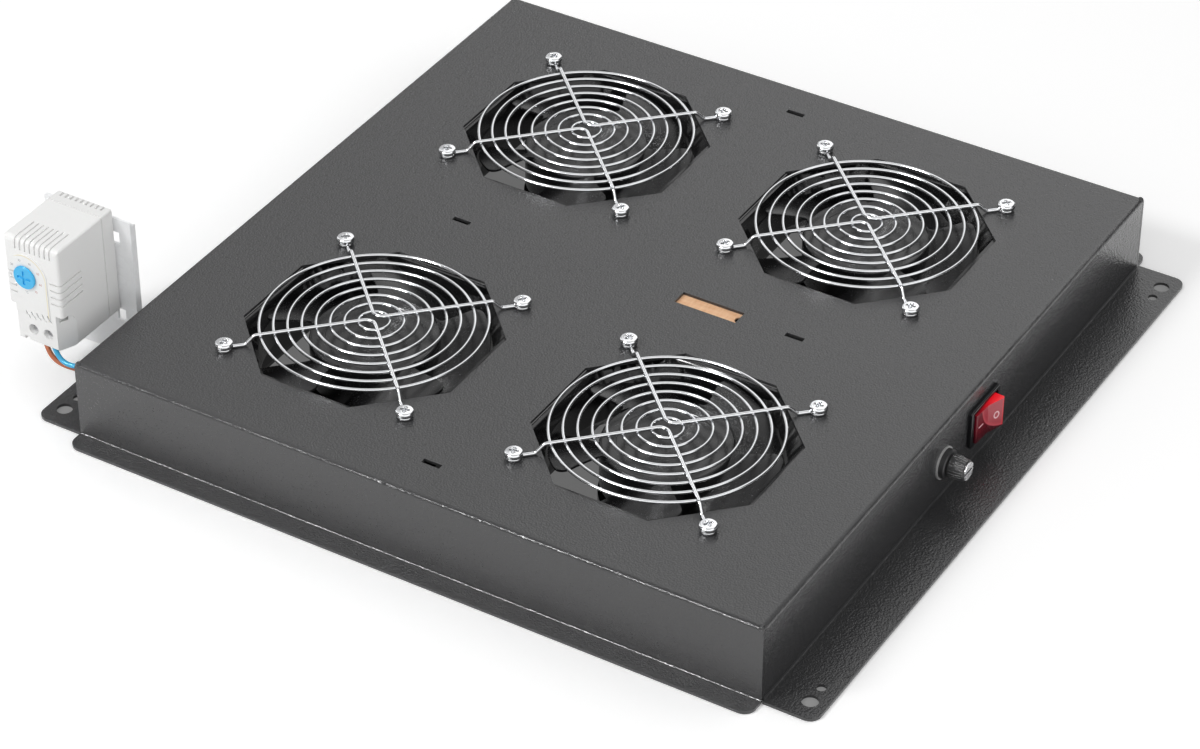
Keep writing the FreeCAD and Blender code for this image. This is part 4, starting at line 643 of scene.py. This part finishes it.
def shape_blade(shape):
    """A swept, cambered blade about the wheel's axis, made from a flat grid."""
    made = bmesh.ops.create_grid(shape, x_segments=BLADE_ACROSS, y_segments=BLADE_OUT, size=0.5)
    for vertex in made["verts"]:
        along, out = 0.5 - vertex.co.x, vertex.co.y + 0.5
        out = 1.0 - (1.0 - out) ** BLADE_CROWD
        radius = BLADE_ROOT + (BLADE_TIP - BLADE_ROOT) * out
        from_tip = BLADE_TIP - radius
        fillet = corner_pull(ROOT_FILLET - (radius - BLADE_ROOT), ROOT_FILLET)
        nose = corner_pull(TIP_ROUND - from_tip, TIP_ROUND) - fillet
        tail = corner_pull(TAIL_ROUND - from_tip, TAIL_ROUND) - fillet
        sweep = BLADE_SWEEP * (1.0 - out)
        lead = BLADE_SPAN / 2 - sweep - nose / radius
        trail = -BLADE_SPAN / 2 - sweep + tail / radius
        angle = lead + (trail - lead) * along
        down = (BLADE_SPAN / 2 - sweep - angle) / BLADE_SPAN
        height = BLADE_TOP - BLADE_RISE * down + BLADE_BOW * 4.0 * down * (1.0 - down)
        vertex.co = (radius * math.cos(angle), radius * math.sin(angle), height)
    faces = list({face for vertex in made["verts"] for face in vertex.link_faces})
    bmesh.ops.recalc_face_normals(shape, faces=faces)
    bmesh.ops.solidify(shape, geom=faces, thickness=BLADE_THICK)
    soften(shape, BLADE_RIM, 2, BLADE_STEEP)


def fan_wheel(place):
    """Hub cup with a seat for a label and five swept blades."""
    shape = bmesh.new()
    shape_blade(shape)
    step = math.tau / BLADE_COUNT
    bmesh.ops.spin(shape, geom=shape.verts[:] + shape.edges[:] + shape.faces[:], cent=(0.0, 0.0, 0.0),
                   axis=(0.0, 0.0, 1.0), angle=step * (BLADE_COUNT - 1), steps=BLADE_COUNT - 1,
                   use_duplicate=True)
    shoulder = [(HUB_RADIUS - HUB_ROUND * inwards, HUB_FACE - HUB_ROUND * down)
                for inwards, down in HUB_SHOULDER]
    lathe(shape, [(0.0, HUB_SHELF), (HUB_INSIDE, HUB_SHELF), (HUB_INSIDE, HUB_SKIRT),
                  (HUB_RADIUS, HUB_SKIRT), *shoulder, (LABEL_RADIUS + LABEL_DEPTH, HUB_FACE),
                  (LABEL_RADIUS, HUB_FACE - LABEL_DEPTH), (0.0, HUB_FACE - LABEL_DEPTH)], HUB_STEPS)
    bmesh.ops.recalc_face_normals(shape, faces=shape.faces)
    low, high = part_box("fan_frame_" + place)
    middle = (low + high) / 2
    bmesh.ops.rotate(shape, verts=shape.verts, cent=(0.0, 0.0, 0.0),
                     matrix=Matrix.Rotation(math.radians(ROTOR_TURNS[place]), 3, "Z"))
    bmesh.ops.translate(shape, verts=shape.verts, vec=(middle.x, middle.y, FAN_BOTTOM))
    wheel = piece_of(shape, "fan_wheel_" + place, "rotor_" + place, "fan_plastic")
    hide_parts("impeller_" + place)


for place in PLACES:
    dressed("fan_housing_" + place, "fan_alloy", ["fan_frame_" + place])
    fan_wheel(place)

# ---- screws of the guards ----
SCREW_ROUND = 0.7 * MM
SCREW_OUT = 52.5 * MM       # from a fan's axis, along X and Y
HEAD_FROM = 47.0 * MM
HEAD_OUTSIDE = 3.4 * MM     # beyond the cross recess
HEAD_STEEP = math.radians(20)


def off_axis(point, middle):
    """Distance from the nearest screw of a fan."""
    return math.hypot(abs(point.x - middle.x) - SCREW_OUT, abs(point.y - middle.y) - SCREW_OUT)


def pan_head_screws():
    """The guards' screws with rounded heads round their cross recesses."""
    shape = merged(["guard_screws"])
    middles = [sum(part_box("fan_frame_" + place), Vector()) / 2 for place in PLACES]
    rims = [edge for edge in shape.edges
            if all(v.co.z > HEAD_FROM and min(off_axis(v.co, m) for m in middles) > HEAD_OUTSIDE
                   for v in edge.verts)]
    soften(shape, SCREW_ROUND, 3, HEAD_STEEP, rims)
    screws = piece_of(shape, "pan_head_screws", "tray", "screw_zinc")
    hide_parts("guard_screws")


pan_head_screws()

# ---- rocker marks ----
MARK_PROUD = 0.06 * MM
FACE_SLOPE = math.atan2(1.7, 11.0)      # either half of the rocker's face
FACE_MIDDLE = -195.3 * MM               # the face's dip, rocker level
RING_AT = 5.6 * MM
RING_INSIDE = 1.2 * MM                  # half width of the ring's hole
RING_OUTSIDE = (1.85 * MM, 2.15 * MM)   # half sizes of the ring
DASH_AT = -6.5 * MM
DASH_SIZE = (4.4 * MM, 0.65 * MM)
MARK_STEPS = 48


def lay_on_rocker(shape, along):
    """Moves a mark from the XY plane, where Z is outwards, to one half of the rocker's face."""
    side = math.copysign(1.0, along)
    upright = Matrix.Rotation(math.radians(90), 3, "X")
    slope = Matrix.Rotation(-side * FACE_SLOPE, 3, "Z")
    face = FACE_MIDDLE - abs(along) * math.tan(FACE_SLOPE)
    place = Vector((ROCKER_PIVOT.x + along, face, ROCKER_PIVOT.z))
    tilt = Matrix.Rotation(-ROCKER_TILT, 3, "Z")
    for vertex in shape.verts:
        level = slope @ (upright @ vertex.co) + place
        vertex.co = tilt @ (level - ROCKER_PIVOT) + ROCKER_PIVOT


def rocker_marks():
    """A ring and a dash, printed on the rocker's two halves."""
    ring = bmesh.new()
    inner, outer = RING_INSIDE / RING_OUTSIDE[0], 1.0
    lathe(ring, [(inner, 0.0), (inner, MARK_PROUD), (outer, MARK_PROUD), (outer, 0.0), (inner, 0.0)],
          MARK_STEPS)
    for vertex in ring.verts:
        vertex.co.x *= RING_OUTSIDE[0]
        vertex.co.y *= RING_OUTSIDE[1]
    lay_on_rocker(ring, RING_AT)
    dash = bmesh.new()
    bmesh.ops.create_cube(dash, size=1.0)
    bmesh.ops.scale(dash, verts=dash.verts, vec=(*DASH_SIZE, 2.0 * MARK_PROUD))
    lay_on_rocker(dash, DASH_AT)
    for shape, name in ((ring, "rocker_ring_mark"), (dash, "rocker_dash_mark")):
        piece = piece_of(shape, name, "rocker", "thermo_shell")
        piece.data.materials[0] = MARK_INK.material


MARK_INK = mark_ink()
rocker_marks()

# ---- thermostat ----
NUMBER_SIZE = 1.75 * MM
NUMBER_RADIUS = 9.2 * MM
NUMBER_START = math.radians(-138.0)
NUMBER_STEP = math.radians(39.8)
NUMBER_COUNT = 8
NUMBER_THICK = 0.03 * MM
COLD_INK = number_ink("cold_ink", tone(150, 152, 158))
WARM_INK = number_ink("warm_ink", tone(196, 140, 130))
SHELL_BLOCK = (((-178.4, 216.1, 45.8), (-168.4, 239.9, 52.2)),
               ((-170.0, 213.2, 45.8), (-168.4, 242.8, 52.2)))      # corners in millimetres


def dial_number(words, angle, ink):
    """One printed number of the dial, upright, at a turn from straight up."""
    curve = bpy.data.curves.new("number_" + words, "FONT")
    curve.body = words
    curve.size = NUMBER_SIZE
    curve.align_x = "CENTER"
    curve.align_y = "CENTER"
    curve.extrude = NUMBER_THICK
    curve.resolution_u = 3
    flat = bpy.data.objects.new("flat_number", curve)
    bpy.context.scene.collection.objects.link(flat)
    bpy.context.view_layer.update()
    mesh = bpy.data.meshes.new_from_object(flat)
    bpy.data.objects.remove(flat)
    stand = Matrix(((0.0, 0.0, -1.0), (-1.0, 0.0, 0.0), (0.0, 1.0, 0.0))).to_4x4()
    across, up = math.sin(angle) * NUMBER_RADIUS, math.cos(angle) * NUMBER_RADIUS
    place = Vector(DIAL_MIDDLE) + Vector((0.0, -across, up))
    mesh.transform(Matrix.Translation(place) @ stand)
    shape = bmesh.new()
    shape.from_mesh(mesh)
    bpy.data.meshes.remove(mesh)
    piece = piece_of(shape, "dial_print_" + words.replace("\u00b0", "deg"), "tray", "thermo_shell")
    piece.data.materials[0] = ink.material


for count in range(NUMBER_COUNT):
    warm = count > NUMBER_COUNT // 2
    dial_number(str(count * 10), NUMBER_START + NUMBER_STEP * count, WARM_INK if warm else COLD_INK)
dial_number("\u00b0C", math.pi, COLD_INK)

block = bmesh.new()
for low, high in SHELL_BLOCK:
    low, high = Vector(low) * MM, Vector(high) * MM
    made = bmesh.ops.create_cube(block, size=1.0)
    bmesh.ops.scale(block, verts=made["verts"], vec=high - low)
    bmesh.ops.translate(block, verts=made["verts"], vec=(low + high) / 2)
piece_of(block, "thermostat_inner_block", "tray", "thermo_shell")

# ---- fuse cap ----
CAP_END = Vector((-22.5, -204.0, 19.8)) * MM
CAP_END_RADIUS = 4.75 * MM
CAP_END_THICK = 0.55 * MM
CAP_SLOT_HALF = 0.62 * MM
CAP_END_ROUND = 0.21 * MM
CAP_END_SUNK = 0.02 * MM
CAP_END_STEPS = 40


def polished_end():
    """Bright plated metal, hammered by its stamping."""
    finish = Finish("cap_end_metal")
    dents = finish.cells(1500.0, "SMOOTH_F1")
    marks = finish.noise(1800.0, 2.0)
    return finish.surface({
        "Base Color": finish.mix(marks, tone(214, 214, 216), tone(244, 244, 246)),
        "Metallic": 1.0,
        "Roughness": finish.between(marks, 0.12, 0.24),
        "Normal": finish.bump(dents + marks * 0.4, 0.2 * MM)})


def fuse_cap_end():
    """The cap's bright slotted end plate, in two halves."""
    plate = bmesh.new()
    bmesh.ops.create_circle(plate, cap_ends=True, segments=CAP_END_STEPS, radius=CAP_END_RADIUS)
    for edge in (-CAP_SLOT_HALF, CAP_SLOT_HALF):
        bmesh.ops.bisect_plane(plate, geom=plate.verts[:] + plate.edges[:] + plate.faces[:], dist=MERGE,
                               plane_co=(0.0, edge, 0.0), plane_no=(0.0, 1.0, 0.0))
    slot = [face for face in plate.faces if abs(face.calc_center_median().y) < CAP_SLOT_HALF]
    bmesh.ops.delete(plate, geom=slot, context="FACES")
    bmesh.ops.recalc_face_normals(plate, faces=plate.faces)
    bmesh.ops.solidify(plate, geom=plate.faces[:], thickness=CAP_END_THICK)
    bmesh.ops.recalc_face_normals(plate, faces=plate.faces)
    soften(plate, CAP_END_ROUND, 2, math.radians(60))
    bmesh.ops.rotate(plate, verts=plate.verts, cent=(0.0, 0.0, 0.0),
                     matrix=Matrix.Rotation(math.radians(90), 3, "X"))
    nearest = max(vertex.co.y for vertex in plate.verts)
    bmesh.ops.translate(plate, verts=plate.verts, vec=CAP_END - Vector((0.0, nearest - CAP_END_SUNK, 0.0)))
    piece = piece_of(plate, "fuse_cap_end", "fuse_cap", "fuse_ring_metal")
    piece.data.materials[0] = polished_end().material


fuse_cap_end()


# ---- stage and light ----
FLOOR_HALF = 6.0
FLOOR_DROP = 0.2 * MM
FLOOR_TONE = 0.8            # for light that is gathered
FLOOR_SEEN = (1.2, 1.7)     # for the camera and for reflections
PAINTED_SHADE_TONE = 0.17             # painted shade: the floor's darker colour under the tray
# painted light: a faint grey glow under the tray, seen by the camera and by reflections
PAINTED_SHADE_GLOW = 0.135
PAINTED_SHADE_HALVES = ((0.2075, 0.1900), (0.1980, 0.2160))       # half sizes of the box and its flanges
WORLD_LIGHT = 0.72
WORLD_TILT = (0.0, -0.5, -0.06)     # how the room's light leans along X, Y and Z
MIRRORED_SKY = 1.55         # soft boxes that only reflections see
ZENITH = (0.8, 0.95)        # heights between which the ceiling fades in
ZENITH_DARK = 0.6
HORIZON = (0.06, 0.2)       # heights above and below its middle where the dark band fades out
HORIZON_MIDDLE = 0.05
HORIZON_DARK = 0.75
SIDE = ((0.2, 0.5), (0.4, 0.56))    # along X and along Y
SIDE_DARK = 0.6
BEHIND = (0.45, 0.53)       # along Y
BEHIND_DARK = 0.85
FLANK = (0.72, 0.88)        # cosines of the angle from its middle
FLANK_DARK = 0.95
FLANK_TOWARDS = (0.686, -0.65, 0.3)
GLINT = 60.0
GLINT_CONE = (math.cos(math.radians(11)), math.cos(math.radians(6)))
GLINT_TOWARDS = (-0.62, 0.33, 0.71)
LAMP_TOWARDS = (-0.6, 0.41, 0.69)
LAMP_DISTANCE = 2.2
LAMP_SIZE = 0.5
LAMP_POWER = 14.0


def rays(maker):
    """1 for camera rays, and 1 for the rays of reflections."""
    return [maker.node("ShaderNodeLightPath", None, None, kind)
            for kind in ("Is Camera Ray", "Is Glossy Ray")]


def unsigned(maker, value):
    """A number without its sign."""
    return maker.node("ShaderNodeMath", {"operation": "ABSOLUTE"}, {0: value})


def stage():
    """A pale floor that shows white and keeps the tray's shadow, with painted shade under the tray: a
    darker colour and a faint grey glow in its footprint.
    """
    shape = bmesh.new()
    bmesh.ops.create_grid(shape, x_segments=2, y_segments=2, size=FLOOR_HALF)
    bmesh.ops.translate(shape, verts=shape.verts, vec=(0.0, 0.0, -FLOOR_DROP))
    mesh = bpy.data.meshes.new("floor")
    shape.to_mesh(mesh)
    shape.free()
    floor = bpy.data.objects.new("floor", mesh)
    bpy.context.scene.collection.objects.link(floor)
    finish = Finish("floor")
    camera_ray, glossy_ray = rays(finish)
    shown = camera_ray * (FLOOR_SEEN[0] - FLOOR_TONE) + glossy_ray * (FLOOR_SEEN[1] - FLOOR_TONE)
    x, y, z = finish.axes(finish.place())
    # painted shade: darker floor colour inside the tray's footprint, with a faint glow there for camera
    # rays and reflections
    boxes = [(unsigned(finish, x) < wide) * (unsigned(finish, y) < deep) for wide, deep in PAINTED_SHADE_HALVES]
    painted_shade_mask = boxes[0] + boxes[1] - boxes[0] * boxes[1]
    level = (FLOOR_TONE + shown) * (1.0 - painted_shade_mask) + painted_shade_mask * PAINTED_SHADE_TONE
    colour = finish.node("ShaderNodeCombineColor", None, {0: level, 1: level, 2: level})
    lit = finish.node("ShaderNodeBsdfDiffuse", None, {"Color": colour})
    glow = finish.node("ShaderNodeEmission", None, {"Strength": PAINTED_SHADE_GLOW})
    seen = finish.node("ShaderNodeMixShader", None, {0: painted_shade_mask * (camera_ray + glossy_ray), 2: glow})
    both = finish.node("ShaderNodeAddShader", None, {0: lit, 1: seen})
    finish.node("ShaderNodeOutputMaterial", None, {"Surface": both})
    mesh.materials.append(finish.material)


def likeness(maker, way, towards):
    """The cosine of the angle between the way that is looked and a direction."""
    return maker.node("ShaderNodeVectorMath", {"operation": "DOT_PRODUCT"},
                      {0: way, 1: Vector(towards).normalized()}, 1)


def surroundings():
    """A white room at a plain level of light.  Reflections see its darker ceiling and horizon."""
    room = Finish("room", bpy.data.worlds)
    bpy.context.scene.world = room.material
    camera_ray, glossy_ray = rays(room)
    way = room.node("ShaderNodeTexCoord", None, None, "Generated")
    x, y, z = room.axes(way)
    ceiling = room.rise(z, *ZENITH)
    horizon = 1.0 - room.rise(unsigned(room, z - HORIZON_MIDDLE), *HORIZON)
    flank = room.rise(likeness(room, way, FLANK_TOWARDS), *FLANK)
    side = room.rise(x, *SIDE[0]) * room.rise(y, *SIDE[1])
    behind = room.rise(y, *BEHIND) * (x < 0.0)
    towards_lamp = likeness(room, way, GLINT_TOWARDS)
    mirrored = MIRRORED_SKY * (1.0 - ceiling * ZENITH_DARK) * (1.0 - horizon * HORIZON_DARK)
    mirrored = mirrored * (1.0 - side * SIDE_DARK) * (1.0 - behind * BEHIND_DARK)
    mirrored = mirrored * (1.0 - flank * FLANK_DARK)
    mirrored = mirrored + room.rise(towards_lamp, *GLINT_CONE) * GLINT
    lean = room.node("ShaderNodeVectorMath", {"operation": "DOT_PRODUCT"}, {0: way, 1: WORLD_TILT}, 1)
    gathered = (1.0 - camera_ray - glossy_ray) * (1.0 + lean) * WORLD_LIGHT
    strength = camera_ray + glossy_ray * mirrored + gathered
    light = room.node("ShaderNodeBackground", None, {"Color": (1.0, 1.0, 1.0, 1.0), "Strength": strength})
    room.node("ShaderNodeOutputWorld", None, {"Surface": light})


def lamp(name, towards, distance, size, power):
    """A square soft lamp that faces the tray's middle."""
    light = bpy.data.lights.new(name, "AREA")
    light.shape = "SQUARE"
    light.size = size
    light.energy = power
    holder = bpy.data.objects.new(name, light)
    bpy.context.scene.collection.objects.link(holder)
    direction = Vector(towards).normalized()
    holder.location = direction * distance
    holder.rotation_mode = "QUATERNION"
    holder.rotation_quaternion = (-direction).to_track_quat("-Z", "Y")


stage()
surroundings()
lamp("key_lamp", LAMP_TOWARDS, LAMP_DISTANCE, LAMP_SIZE, LAMP_POWER)
